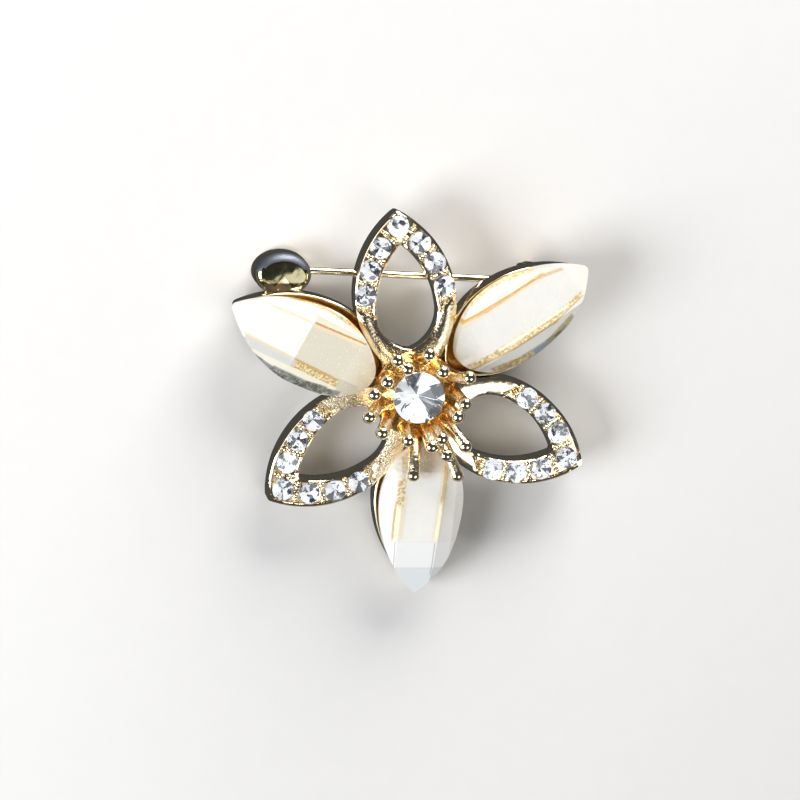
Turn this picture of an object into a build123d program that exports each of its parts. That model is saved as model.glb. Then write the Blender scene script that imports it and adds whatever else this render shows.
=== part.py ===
from build123d import *
import os
from math import asin, atan2, cos, degrees, radians, sin, sqrt, tan

# A flower brooch that lies face up. Millimetres, +Z up.
# It is drawn in the flower's own frame: the origin is where the petals' top faces meet
# on the hub's axis, and +Z comes out of the face. The last step sets it down on its feet,
# with the finished part's origin under the middle of its box.

# Open petals: a pointed ring, its window, and how deep the metal is
ring_reach = 18.9
ring_width = 10.3
ring_widest_at = 9.5
ring_root_at = 1.0
ring_tip_radius = 0.45
window_reach = 15.1
window_width = 6.2
window_widest_at = 8.3
window_root_at = 4.4
window_tip_radius = 0.3
petal_depth = 2.2

# Cup petals: a shallow dish with a thin wall
cup_reach = 20.7
cup_width = 8.9
cup_widest_at = 11.2
cup_root_at = 3.8
cup_tip_radius = 0.5
cup_root_radius = 1.6
cup_wall = 0.4
cup_floor = 0.8
cup_inner_tip_radius = 0.3

# Inlays: faceted pointed ovals that stand in the cups and overhang the rims a little
inlay_reach = 21.2
inlay_width = 8.6
inlay_widest_at = 11.45
inlay_root_at = 4.6
inlay_tip_radius = 0.5
inlay_root_radius = 2.2
inlay_height = 1.9
inlay_overhang = 1.05
inlay_back_bevel = 0.6
rim_gap = 0.12
floor_gap = 0.1
side_gap = 0.06
# Facets along an inlay, from its middle outwards: share of half its length, slope in degrees
inlay_rows = ((0.0, 3.0), (0.31, 8.0), (0.62, 20.0))
# Facets across an inlay, from its middle outwards: share of half its width, slope in degrees
inlay_bands = ((0.0, 0.0), (0.5, 22.0), (0.7, 46.0))

# Round stones
centre_stone_width = 5.2
centre_stone_at = 1.75
pave_stone_width = 2.0
pave_stone_at = 0.05
pave_first_step = 2.8
pave_step = 2.55
pave_side_count = 3
stone_gap = 0.04
main_facets = 8
girdle_share = 0.04
crown_angle = 34.0
star_angle = 21.0
upper_girdle_angle = 39.0
pavilion_angle = 41.0
lower_girdle_angle = 43.5
table_share = 0.58
pit_point_radius = 0.03
pit_depth_share = 1.12
centre_stone_turn = 11.0
pave_stone_turn = 37.0

# Bead prongs beside the small stones
bead_radius = 0.25
bead_spread = 0.56
bead_at = 0.02
end_bead_share = 0.44

# Hub and the raised seat of the centre stone
hub_radius = 4.3
hub_shoulder = 0.2
hub_cone_height = 0.9
seat_top_radius = 2.5
seat_foot_radius = 2.2
seat_rim_below_girdle = 0.5

# Stamens: rods that bend outwards and end in a ball
stamen_radius = 0.54
ball_radius = 0.6
stamen_root_at = -0.8
stamen_height = 3.2
stamen_rise_angle = 80.0
stamen_bend = 30.0
# Columns: root azimuth, root radius, ball azimuth, ball's distance from the hub's axis, ball
# height. Radius and distance are shares of the hub's radius, height of the stamens' height.
stamens = (
    (112.0, 0.837, 119.9, 1.151, 1.000),
    (84.0, 0.860, 81.3, 1.128, 1.000),
    (108.0, 0.767, 113.0, 0.849, 0.969),
    (58.0, 0.767, 53.0, 0.837, 0.969),
    (146.0, 0.767, 148.6, 0.953, 1.000),
    (28.0, 0.837, 24.4, 1.233, 1.000),
    (164.0, 0.837, 169.4, 1.140, 1.000),
    (188.0, 0.860, 195.0, 1.279, 0.969),
    (215.0, 0.791, 217.7, 1.174, 0.969),
    (250.0, 0.767, 251.5, 0.988, 0.938),
    (268.0, 0.860, 264.8, 1.814, 0.750),
    (284.0, 0.791, 282.3, 1.140, 0.906),
    (302.0, 0.767, 297.5, 1.035, 0.969),
    (293.0, 0.884, 293.8, 1.465, 0.875),
    (301.0, 0.884, 295.1, 2.047, 0.750),
    (318.0, 0.837, 312.7, 1.558, 0.844),
    (336.0, 0.767, 334.3, 0.953, 0.969),
    (6.0, 0.860, 353.5, 1.035, 1.000),
)

# Petals. Columns: azimuth, droop, how far the petal is set out as a share of the hub's radius
ring_petals = {
    "top": (95.2, 3.5, 0.023),
    "lower_left": (-144.6, 3.5, -0.14),
    "lower_right": (-25.9, 3.5, 0.093),
}
cup_petals = {
    "left": (154.0, 5.0, -0.023),
    "right": (33.7, 5.0, 0.023),
    "bottom": (-87.5, 5.0, 0.0),
}
# Cups and inlays on their petal's line, moved from their widest place. Columns: turn, shift
# along and shift across, as shares of the cup's or the inlay's own width
cup_seats = {
    "left": (0.0, 0.0, -0.065),
    "right": (0.0, 0.0, 0.034),
    "bottom": (-2.0, 0.0, -0.011),
}
inlay_seats = {
    "left": (-3.6, -0.017, 0.0),
    "right": (-1.5, 0.03, 0.03),
    "bottom": (-5.8, -0.017, 0.019),
}

# Pin work on the back
wire_radius = 0.35
wire_height = -4.85
foot_height = -6.05
catch_at = (-12.7, 12.25)
hinge_at = (12.3, 9.95)
point_length = 4.5
point_end_radius = 0.08
wire_past_catch = 1.4

# Catch: a rounded hood that closes over the wire's point, on a neck
hood_width = 5.8
hood_length = 4.4
hood_neck_width = 3.4
hood_neck_reach = 4.6
hood_top = -3.3
hood_wall = 0.5
hood_roll = 0.95
notch_gap = 0.25

# Hinge: two ears, a knuckle and a headed rivet
ear_radius = 1.2
ear_thickness = 0.6
ear_top = -3.2
knuckle_width = 1.9
knuckle_radius = 0.85
side_play = 0.08
rivet_radius = 0.42
rivet_play_in_ear = 0.02
rivet_play_in_knuckle = 0.05
rivet_head_radius = 0.75
rivet_head_height = 0.28
rivet_head_gap = 0.03

# How far a cutting tool runs past the surface that it opens
cut_spare = 1.0


def leaf(root_at, widest_at, reach, width, tip_radius=0, root_radius=0):
    """A pointed oval along +X: an arc on each side of its widest place, mirrored."""
    edges = []
    for side in (1, -1):
        shoulder = (widest_at, side * width / 2)
        edges.append(TangentArc(shoulder, (reach, 0), tangent=(1, 0)))
        edges.append(TangentArc(shoulder, (root_at, 0), tangent=(-1, 0)))
    face = make_face(Curve() + edges)
    if tip_radius:
        face = fillet(face.vertices().sort_by(Axis.X)[-1], tip_radius)
    if root_radius:
        face = fillet(face.vertices().sort_by(Axis.X)[0], root_radius)
    return face


def slab(face, low, high):
    """A flat face drawn on Z 0 as a slab between two heights."""
    return Pos(0, 0, low) * extrude(face, amount=high - low, dir=(0, 0, 1))


def petal_place(azimuth, droop, set_out):
    """Where a petal's own frame stands: +X along the petal, +Z out of its top face."""
    return Rot(0, 0, azimuth) * Rot(0, droop, 0) * Pos(set_out * hub_radius, 0, 0)


def seated(name, seats, width, widest_at):
    """A cup's or an inlay's own frame: its petal's, shifted and turned at the widest place."""
    turn, along, across = seats[name]
    shift = Pos(widest_at + along * width, across * width, 0)
    return petal_place(*cup_petals[name]) * shift * Rot(0, 0, turn) * Pos(-widest_at)


def cup_place(name):
    """Where a cup's own frame stands."""
    return seated(name, cup_seats, cup_width, cup_widest_at)


def inlay_place(name):
    """Where an inlay's own frame stands."""
    return seated(name, inlay_seats, inlay_width, inlay_widest_at)


def cut_facets(solid, planes):
    """Keeps what lies under each plane."""
    for plane in planes:
        solid = split(solid, bisect_by=plane, keep=Keep.BOTTOM)
    return solid


def facet_ring(count, first, slope, radius, height):
    """Planes round the Z axis through one height at one radius, sloping down outwards."""
    planes = []
    for step in range(count):
        turn = radians(first + step * 360 / count)
        out = (cos(turn), sin(turn))
        tilt = radians(slope)
        origin = (radius * out[0], radius * out[1], height)
        normal = (sin(tilt) * out[0], sin(tilt) * out[1], cos(tilt))
        planes.append(Plane(origin=origin, z_dir=normal))
    return planes


def brilliant(width, full_cut):
    """A round stone with its girdle on Z 0: table, kites and stars over a faceted point."""
    radius = width / 2
    half_girdle = width * girdle_share / 2
    table_corner = radius * table_share
    crown = (radius - table_corner) * tan(radians(crown_angle))
    depth = radius * tan(radians(pavilion_angle))
    top = half_girdle + crown
    bottom = half_girdle + depth
    blank = Pos(0, 0, (top - bottom) / 2) * Cylinder(radius, top + bottom)
    half_step = 180 / main_facets
    star_radius = table_corner * cos(radians(half_step))
    upper = facet_ring(main_facets, 0, crown_angle, radius, half_girdle)
    upper += facet_ring(main_facets, half_step, star_angle, star_radius, top)
    lower = facet_ring(main_facets, 0, pavilion_angle, radius, half_girdle)
    if full_cut:
        count, first = 2 * main_facets, half_step / 2
        upper += facet_ring(count, first, upper_girdle_angle, radius, half_girdle)
        lower += facet_ring(count, first, lower_girdle_angle, radius, half_girdle)
    stone = cut_facets(blank, upper)
    flipped = cut_facets(Rot(180, 0, 0) * stone, lower)
    return Rot(180, 0, 0) * flipped


def stone_pit(width):
    """The seat of a round stone, with a gap all round, open upwards. Girdle on Z 0."""
    radius = width / 2 + stone_gap
    ledge = width * girdle_share / 2 + stone_gap
    depth = radius * tan(radians(pavilion_angle)) * pit_depth_share
    mouth = Pos(0, 0, (width - ledge) / 2) * Cylinder(radius, width + ledge)
    cone = Pos(0, 0, -ledge - depth / 2) * Cone(pit_point_radius, radius, depth)
    return mouth + cone


def pave_spots():
    """Centres of a ring petal's stones, tip first, on the arc midway along its band."""
    middle_reach = (ring_reach + window_reach) / 2
    middle_half = (ring_width + window_width) / 4
    middle_widest = (ring_widest_at + window_widest_at) / 2
    run = middle_reach - middle_widest
    bend = (run ** 2 + middle_half ** 2) / (2 * middle_half)
    tip_angle = asin(run / bend)
    spots = [(middle_reach, 0.0)]
    for side in (1, -1):
        for number in range(pave_side_count):
            angle = tip_angle - (pave_first_step + number * pave_step) / bend
            along = middle_widest + bend * sin(angle)
            across = middle_half - bend + bend * cos(angle)
            spots.append((along, side * across))
    return spots


def bead_spots():
    """Pairs of beads between neighbouring stones and past the last one on each side."""
    spots = pave_spots()
    beads = []
    for side_start in (1, 1 + pave_side_count):
        chain = [spots[0]] + spots[side_start:side_start + pave_side_count]
        last, before = chain[-1], chain[-2]
        chain.append((2 * last[0] - before[0], 2 * last[1] - before[1]))
        for here, there in zip(chain, chain[1:]):
            run = (there[0] - here[0], there[1] - here[1])
            length = sqrt(run[0] ** 2 + run[1] ** 2)
            across = (-run[1] / length, run[0] / length)
            share = end_bead_share if there == chain[-1] else 0.5
            middle = (here[0] + share * run[0], here[1] + share * run[1])
            for side in (1, -1):
                beads.append((middle[0] + side * bead_spread * across[0],
                              middle[1] + side * bead_spread * across[1]))
    return beads


def ring_petal():
    """An open petal in its own frame, with the pits and beads of its stones."""
    outline = leaf(ring_root_at, ring_widest_at, ring_reach, ring_width, ring_tip_radius)
    window = leaf(window_root_at, window_widest_at, window_reach, window_width, window_tip_radius)
    body = slab(outline - window, -petal_depth, 0)
    pits = [Pos(x, y, pave_stone_at) * stone_pit(pave_stone_width) for x, y in pave_spots()]
    beads = [Pos(x, y, bead_at) * Sphere(bead_radius) for x, y in bead_spots()]
    return body - pits + beads


def cup_petal():
    """A cup petal in its own frame: the same depth of metal, dished out over a floor."""
    outline = leaf(cup_root_at, cup_widest_at, cup_reach, cup_width, cup_tip_radius, cup_root_radius)
    # A wall of even width takes more off a pointed end than off the side
    end_angle = 2 * atan2(cup_width / 2, cup_reach - cup_widest_at)
    root_angle = 2 * atan2(cup_width / 2, cup_widest_at - cup_root_at)
    inside = leaf(cup_root_at + cup_wall / sin(root_angle), cup_widest_at,
                  cup_reach - cup_wall / sin(end_angle), cup_width - 2 * cup_wall,
                  cup_inner_tip_radius, cup_root_radius)
    return slab(outline, -petal_depth, 0) - slab(inside, cup_floor - petal_depth, cut_spare)


def inlay_facets():
    """Planes whose heights add a slope along the stone to a slope across it."""
    middle = (inlay_reach + inlay_root_at) / 2
    half_length = (inlay_reach - inlay_root_at) / 2
    half_width = inlay_width / 2
    top = rim_gap + inlay_height

    def edges_and_drops(table, half):
        rows, drop = [], 0.0
        for number, (share, slope) in enumerate(table):
            if number:
                drop += (share - table[number - 1][0]) * half * tan(radians(table[number - 1][1]))
            rows.append((share * half, tan(radians(slope)), drop))
        return rows

    planes = []
    for along, end_fall, end_drop in edges_and_drops(inlay_rows, half_length):
        for across, side_fall, side_drop in edges_and_drops(inlay_bands, half_width):
            for way in (1, -1):
                for side in (1, -1):
                    origin = (middle + way * along, side * across, top - end_drop - side_drop)
                    normal = (way * end_fall, side * side_fall, 1)
                    planes.append(Plane(origin=origin, z_dir=normal))
                    if side_fall == 0:
                        break
    return planes


def inlay():
    """An inlay in its cup's frame: a faceted crown over a back that narrows into the cup."""
    outline = leaf(inlay_root_at, inlay_widest_at, inlay_reach, inlay_width,
                   inlay_tip_radius, inlay_root_radius)
    blank = slab(outline, rim_gap, rim_gap + inlay_height + cut_spare)
    crown = cut_facets(blank, inlay_facets())
    end_angle = 2 * atan2(inlay_width / 2, inlay_reach - inlay_widest_at)

    def back_outline(inset):
        return leaf(inlay_root_at + inset, inlay_widest_at, inlay_reach - inset / sin(end_angle),
                    inlay_width - 2 * inset, inlay_tip_radius / 2, inlay_root_radius)

    floor_at = cup_floor - petal_depth + floor_gap
    back = loft([Pos(0, 0, floor_at) * back_outline(inlay_overhang + inlay_back_bevel),
                 Pos(0, 0, rim_gap) * back_outline(inlay_overhang)])
    return crown + back


def inlay_room(name):
    """The space that an inlay needs over its cup's rim, with a gap below and beside it."""
    outline = leaf(inlay_root_at - side_gap, inlay_widest_at, inlay_reach + side_gap,
                   inlay_width + 2 * side_gap)
    return inlay_place(name) * slab(outline, rim_gap - floor_gap, inlay_height)


def stamen(root_azimuth, root_share, ball_azimuth, ball_share, height_share):
    """A rod that leaves the hub steeply and bends out to its ball, and the ball."""
    root_radius, out = root_share * hub_radius, ball_share * hub_radius
    height = height_share * stamen_height
    root_turn, ball_turn = radians(root_azimuth), radians(ball_azimuth)
    root = Vector(root_radius * cos(root_turn), root_radius * sin(root_turn), stamen_root_at)
    tip = Vector(out * cos(ball_turn), out * sin(ball_turn), height)
    across = Vector(tip.X - root.X, tip.Y - root.Y, 0)
    # Long rods leave flatter than short ones, so that each bends by about as much
    chord_angle = degrees(atan2(height - stamen_root_at, across.length))
    start_angle = radians(min(stamen_rise_angle, chord_angle + stamen_bend))
    start = across.normalized() * cos(start_angle) + Vector(0, 0, sin(start_angle))
    path = TangentArc(root, tip, tangent=start)
    rod = sweep(Plane(origin=root, z_dir=start) * Circle(stamen_radius), path=path)
    return [rod, Pos(tip) * Sphere(ball_radius)]


def hub():
    """The round middle that the petals are soldered to, and the seat of the centre stone."""
    disc = Pos(0, 0, -petal_depth / 2) * Cylinder(hub_radius, petal_depth)
    shoulder = hub_radius - hub_shoulder
    cone = Pos(0, 0, hub_cone_height / 2) * Cone(shoulder, seat_foot_radius, hub_cone_height)
    rim_at = centre_stone_at - seat_rim_below_girdle
    seat = Pos(0, 0, rim_at / 2) * Cone(seat_foot_radius, seat_top_radius, rim_at)
    pit = Pos(0, 0, centre_stone_at) * stone_pit(centre_stone_width)
    return disc + cone + seat, pit


def wire_frame(at):
    """A frame on the wire's line at one of its ends: +X towards the hinge, +Z up."""
    run = Vector(hinge_at[0] - catch_at[0], hinge_at[1] - catch_at[1], 0)
    return Plane(origin=(at[0], at[1], 0), x_dir=run.normalized(), z_dir=(0, 0, 1)).location


def dome(inset, low, high, roll):
    """An oval block over the end of the wire, with its top edge rolled over."""
    oval = Ellipse(hood_width / 2 - inset, hood_length / 2 - inset).face()
    block = slab(oval, low, high)
    return fillet(block.edges().group_by(Axis.Z)[-1], roll)


def catch():
    """A hollow hood over the wire's point, on a neck soldered under the left cup."""
    hood = dome(0, foot_height, hood_top, hood_roll)
    neck_face = (Pos(0, -hood_neck_reach / 2) * Rectangle(hood_neck_width, hood_neck_reach)).face()
    hood += slab(neck_face, hood_top - hood_wall, hood_top)
    inside_top = hood_top - hood_wall
    hollow = dome(hood_wall, foot_height - cut_spare, inside_top, hood_roll - hood_wall)
    # The notch lets the wire in from the hinge's side and out downwards
    notch_half = wire_radius + notch_gap
    notch = Pos(hood_width / 2, 0, wire_height) * Rot(0, 90, 0) * Cylinder(notch_half, hood_width)
    slot_depth = wire_height - foot_height + cut_spare
    slot = Pos(hood_width / 2, 0, wire_height - slot_depth / 2) * Box(hood_width, 2 * notch_half, slot_depth)
    return wire_frame(catch_at) * (hood - hollow - notch - slot)


def hinge_ears():
    """Two drilled ears soldered under the right cup."""
    hole = rivet_radius + rivet_play_in_ear
    rise = ear_top - wire_height
    profile = Circle(ear_radius) + Pos(0, rise / 2) * Rectangle(2 * ear_radius, rise) - Circle(hole)
    ears = []
    for side in (1, -1):
        middle = side * (knuckle_width / 2 + side_play + ear_thickness / 2)
        ear = extrude(Plane.XZ * profile, amount=ear_thickness / 2, both=True)
        ears.append(wire_frame(hinge_at) * Pos(0, middle, wire_height) * ear)
    return ears


def hinge_rivet():
    """A rivet through both ears, with a head at each end."""
    half_span = knuckle_width / 2 + side_play + ear_thickness + rivet_head_gap
    profile = Circle(rivet_radius)
    shaft = extrude(Plane.XZ * profile, amount=half_span, both=True)
    head = extrude(Plane.XZ * Circle(rivet_head_radius), amount=rivet_head_height / 2, both=True)
    rivet = shaft
    for side in (1, -1):
        rivet += Pos(0, side * (half_span + rivet_head_height / 2), 0) * head
    return wire_frame(hinge_at) * Pos(0, 0, wire_height) * rivet


def pin_stem():
    """The wire with its sharpened point, on a knuckle drilled for the rivet."""
    run = Vector(hinge_at[0] - catch_at[0], hinge_at[1] - catch_at[1], 0).length
    bore = rivet_radius + rivet_play_in_knuckle
    ring = Circle(knuckle_radius) - Circle(bore)
    barrel = extrude(Plane.XZ * ring, amount=knuckle_width / 2, both=True)
    straight = run + wire_past_catch - point_length
    root = (bore + knuckle_radius) / 2
    along = Rot(0, -90, 0)
    wire = Pos(-(straight + root) / 2, 0, 0) * along * Cylinder(wire_radius, straight - root)
    taper = along * Cone(wire_radius, point_end_radius, point_length)
    point = Pos(-straight - point_length / 2, 0, 0) * taper
    return wire_frame(hinge_at) * Pos(0, 0, wire_height) * (barrel + wire + point)


def flower_casting():
    """Everything that is soldered together, as one solid."""
    middle, pit = hub()
    pieces = [petal_place(*place) * ring_petal() for place in ring_petals.values()]
    pieces += [cup_place(name) * cup_petal() for name in cup_petals]
    casting = middle + pieces
    for name in cup_petals:
        casting -= inlay_room(name)
    for row in stamens:
        casting += stamen(*row)
    casting -= pit
    return casting + catch() + hinge_ears()


def rest_place():
    """How the flower lies: on the hood's rim, the hinge ears and the bottom cup's tip."""
    hood_front = hood_length / 2 - hood_wall / 2
    hood_foot = (wire_frame(catch_at) * Pos(0, hood_front, foot_height)).position
    reach_over = knuckle_width / 2 + side_play + ear_thickness
    ear_foot = (wire_frame(hinge_at) * Pos(0, reach_over, wire_height - ear_radius)).position
    cup_tip = Pos(cup_reach - cup_tip_radius, 0, -petal_depth)
    tip_foot = (cup_place("bottom") * cup_tip).position
    up = (ear_foot - tip_foot).cross(hood_foot - tip_foot).normalized()
    along = (Vector(1, 0, 0) - up * up.X).normalized()
    return Plane(origin=tip_foot, x_dir=along, z_dir=up)


def brooch():
    """All sub-parts by node name, in the flower's own frame."""
    parts = {"flower_casting": flower_casting()}
    centre = brilliant(centre_stone_width, full_cut=True)
    parts["centre_stone"] = Pos(0, 0, centre_stone_at) * Rot(0, 0, centre_stone_turn) * centre
    small = brilliant(pave_stone_width, full_cut=False)
    for name, place in ring_petals.items():
        for number, (x, y) in enumerate(pave_spots(), start=1):
            spot = petal_place(*place) * Pos(x, y, pave_stone_at)
            parts[f"stone_{name}_{number}"] = spot * Rot(0, 0, pave_stone_turn * number) * small
    for name in cup_petals:
        parts[f"inlay_{name}"] = inlay_place(name) * inlay()
    parts["hinge_rivet"] = hinge_rivet()
    parts["pin_stem"] = pin_stem()
    return parts


def set_down(parts):
    """Stands the flower on its feet and brings the middle of its box over the origin."""
    down = rest_place().location.inverse()
    resting = {name: down * part for name, part in parts.items()}
    box = Compound(children=[Compound(part.solids()) for part in resting.values()]).bounding_box()
    shift = Pos(-box.center().X, -box.center().Y, -box.min.Z)
    return {name: shift * part for name, part in resting.items()}, shift * down


os.makedirs("parts", exist_ok=True)
finished, placing = set_down(brooch())
for node, part in finished.items():
    export_step(part, f"parts/{node}.step")
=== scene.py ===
from collections import namedtuple
from contextlib import contextmanager
from math import atan2, cos, hypot, pi, radians, sin, sqrt, tan
import bpy
import numpy
from mathutils import Matrix, Vector


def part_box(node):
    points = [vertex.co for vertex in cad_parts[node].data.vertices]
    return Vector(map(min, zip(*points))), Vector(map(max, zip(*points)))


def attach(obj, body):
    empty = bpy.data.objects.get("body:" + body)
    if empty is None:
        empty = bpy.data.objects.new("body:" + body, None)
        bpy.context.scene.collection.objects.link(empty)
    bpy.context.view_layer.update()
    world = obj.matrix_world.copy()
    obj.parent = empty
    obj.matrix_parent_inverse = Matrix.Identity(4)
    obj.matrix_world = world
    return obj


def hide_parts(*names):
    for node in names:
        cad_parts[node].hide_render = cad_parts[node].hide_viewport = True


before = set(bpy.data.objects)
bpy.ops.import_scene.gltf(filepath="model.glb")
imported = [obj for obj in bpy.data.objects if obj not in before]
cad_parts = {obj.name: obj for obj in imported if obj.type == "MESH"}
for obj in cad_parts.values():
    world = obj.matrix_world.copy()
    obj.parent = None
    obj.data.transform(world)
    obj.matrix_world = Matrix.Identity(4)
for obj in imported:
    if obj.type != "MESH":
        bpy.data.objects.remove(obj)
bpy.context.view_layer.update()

# A flower brooch: three open petals with small stones, three cups with cream inlays,
# a hub with ball-ended stamens round one large stone, and the pin work underneath.
# Shapes are drawn in millimetres in each piece's own frame, then set down in metres.

bl_info = {
    "name": "Flower brooch",
    "version": (1, 0, 0),
    "blender": (4, 5, 0),
    "location": "3D view > Sidebar > Brooch",
    "description": "Models the metal, the stones, the inlays and the pin work of a flower brooch",
    "category": "Object",
}

MM = 0.001

# How the flower lies at rest: where its own origin is, its +X and its +Z
FLOWER_AT = (0.296081, 0.910097, 5.48094)
FLOWER_RIGHT = (0.999978, 0.0, 0.006704)
FLOWER_OUT = (-0.00669, -0.063928, 0.997932)

# Petals. Columns: azimuth, droop, how far the petal is set out from the hub's axis
RING_PETALS = {
    "top": (95.2, 3.5, 0.1),
    "lower_left": (-144.6, 3.5, -0.6),
    "lower_right": (-25.9, 3.5, 0.4),
}
CUP_PETALS = {
    "left": (154.0, 5.0, -0.1),
    "right": (33.7, 5.0, 0.1),
    "bottom": (-87.5, 5.0, 0.0),
}
# Cups and inlays on their petal's line, from their widest place. Columns: turn, along, across
CUP_SEATS = {
    "left": (0.0, 0.0, -0.58),
    "right": (0.0, 0.0, 0.30),
    "bottom": (-2.0, 0.0, -0.10),
}
INLAY_SEATS = {
    "left": (-3.6, -0.15, 0.0),
    "right": (-1.5, 0.26, 0.26),
    "bottom": (-5.8, -0.15, 0.16),
}

# Outlines in a petal's own frame
Leaf = namedtuple("Leaf", "root_at widest_at reach width tip_radius root_radius")
RING = Leaf(1.0, 9.5, 18.9, 10.3, 0.45, 0.3)
WINDOW = Leaf(4.4, 8.3, 15.1, 6.2, 0.3, 0.1)
# How each open petal differs. Columns: reach of its outline and of its window, crown of its arms
RING_SHAPES = {
    "top": (18.6, 15.1, 0.32),
    "lower_left": (18.9, 15.1, 0.14),
    "lower_right": (18.9, 15.5, 0.14),
}
CUP = Leaf(3.8, 11.2, 20.7, 8.9, 0.5, 1.6)
INLAY = Leaf(4.6, 11.45, 21.2, 8.6, 0.5, 2.2)
MIDDLE_OF_INLAY = (INLAY.root_at + INLAY.reach) / 2

# Stamens. Columns: root azimuth, root radius, ball azimuth, ball radius, ball height, thickness
STAMENS = (
    (112.0, 3.6, 119.9, 4.95, 3.2, 1.0),
    (84.0, 3.7, 81.3, 4.85, 3.2, 1.0),
    (108.0, 3.3, 113.0, 3.65, 3.1, 1.0),
    (58.0, 3.3, 53.0, 3.6, 3.1, 1.0),
    (146.0, 3.3, 148.6, 4.1, 3.2, 1.0),
    (28.0, 3.6, 24.4, 5.3, 3.2, 1.0),
    (164.0, 3.6, 169.4, 4.9, 3.2, 1.0),
    (188.0, 3.7, 195.0, 5.5, 3.1, 1.1),
    (215.0, 3.4, 217.7, 5.05, 3.1, 1.1),
    (250.0, 3.3, 251.5, 4.25, 3.0, 1.1),
    (268.0, 3.7, 264.8, 7.8, 2.4, 1.08),
    (284.0, 3.4, 282.3, 4.9, 2.9, 1.1),
    (302.0, 3.3, 297.5, 4.45, 3.1, 1.1),
    (293.0, 3.8, 293.8, 6.3, 2.8, 1.0),
    (301.0, 3.8, 295.1, 8.8, 2.4, 1.02),
    (318.0, 3.6, 312.7, 6.7, 2.7, 1.0),
    (336.0, 3.3, 334.3, 4.1, 3.1, 1.1),
    (6.0, 3.7, 353.5, 4.45, 3.2, 1.0),
)
STAMEN_ROOT_AT = -0.8

# Pin work, in the flower's frame
CATCH_AT = (-12.7, 12.25)
HINGE_AT = (12.3, 9.95)
WIRE_HEIGHT = -4.85
FOOT_HEIGHT = -6.05
# Hinge: half of the knuckle's width, gap beside it, thickness of an ear
KNUCKLE_HALF, HINGE_GAP, EAR_THICKNESS = 0.95, 0.08, 0.6
# Pin wire: how far it reaches past the catch's middle, and how long its point is
PAST_CATCH, POINT_LENGTH = 1.4, 4.5

# Small stones on the middle arc of an open petal's band: the first and each further step
STONES_A_SIDE = 3
STONE_STEPS = (2.8, 2.55)
# Beads: distances from the arc, and the share of the way to the next stone
BEAD_SPREADS = (0.77, 0.42)
BEAD_SHARE, END_BEAD_SHARE = 0.5, 0.44
# The beads past the last stone are nearer to the arc by this factor
END_BEAD_NEARNESS = 0.7
# Along an open petal: where its arms end, and where the rims beside the stones rise and sink
ARM_END = 9.2
RIMS_START, RIMS_STOP = (8.8, 9.6), (17.9, 18.4)

# How many millimetres a petal's UV square spans
UV_SPAN = 25.0

# Metals. Columns: grain size, waves, grains, relief, share of deep gold (0 where the finish has
# a set colour), extra roughness
METALS = {
    "petal_gold": (0.5, 0.5, 0.15, 0.05, 0.2, 0.0),
    "channel_gold": (0.5, 0.5, 0.2, 0.03, 0.5, 0.0),
    "arm_gold_top": (0.2, 0.5, 0.8, 0.042, 0.25, 0.0),
    "arm_gold_lower_left": (0.2, 0.5, 1.0, 0.08, 0.3, 0.10),
    "arm_gold_lower_right": (0.5, 0.8, 0.2, 0.04, 0.2, 0.0),
    "bead_gold": (0.8, 0.2, 0.02, 0.005, 0.05, 0.0),
    "cup_gold": (0.6, 0.6, 0.1, 0.03, 0.2, 0.0),
    "cup_floor": (0.4, 0.6, 0.5, 0.05, 0.0, 0.1),
    "hub_gold": (0.26, 0.5, 0.7, 0.07, 0.3, 0.09),
    "ball_gold": (0.5, 0.2, 0.05, 0.01, 0.1, 0.0),
    "seat_gold": (0.3, 0.3, 0.3, 0.03, 0.3, 0.0),
    "pin_gold": (0.8, 0.3, 0.06, 0.02, 0.2, 0.0),
    "hood_steel": (0.1, 0.2, 0.1, 0.004, 0.0, 0.36),
    "hood_mirror": (0.5, 1.0, 0.1, 0.06, 0.0, 0.0),
}
# Finishes with a set colour: the cups' inner sides are deep orange, and the hood's crescent and
# dome are dark tints that are painted reflections of dark surroundings
METAL_TINTS = {
    "cup_floor": (0.78, 0.42, 0.10),
    "hood_steel": (0.15, 0.16, 0.19),
    "hood_mirror": (0.30, 0.28, 0.17),
}
# The finish that turns to deep gold lower down, between these heights: painted shade and painted
# reflection of the metal in the hub's hollows
HOLLOW_SHADE_METAL, HOLLOW_SHADE_FROM, HOLLOW_SHADE_TO = "hub_gold", 7.7, 5.8

# Foils behind the stones, whose light, grey and dark shards are painted reflections and whose glow
# is painted light. Columns: name, share of shards that stay light, glow
FOILS = {
    "large": (("white", 0.99, 0.75), ("pale", 0.9, 0.55), ("grey", 0.7, 0.3),
              ("dark", 0.2, 0.1)),
    "small": (("white", 0.88, 0.55), ("pale", 0.7, 0.35), ("grey", 0.48, 0.2),
              ("dark", 0.16, 0.1)),
}
SHARDS_PER_MM = {"large": 0.9, "small": 2.3}
SPLINTERS_A_SHARD = 2.4


# ---------------------------------------------------------------- settings

def length(name, text, millimetres, precision=5):
    """A length that a user may change."""
    return bpy.props.FloatProperty(name=name, description=text, default=millimetres * MM,
                                   unit="LENGTH", precision=precision)


def colour(name, text, default):
    """A colour that a user may change."""
    return bpy.props.FloatVectorProperty(name=name, description=text, default=default,
                                         subtype="COLOR", min=0, max=1)


def power(name, text, default):
    """A lamp's power that a user may change."""
    return bpy.props.FloatProperty(name=name, description=text, default=default, min=0,
                                   unit="POWER")


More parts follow.
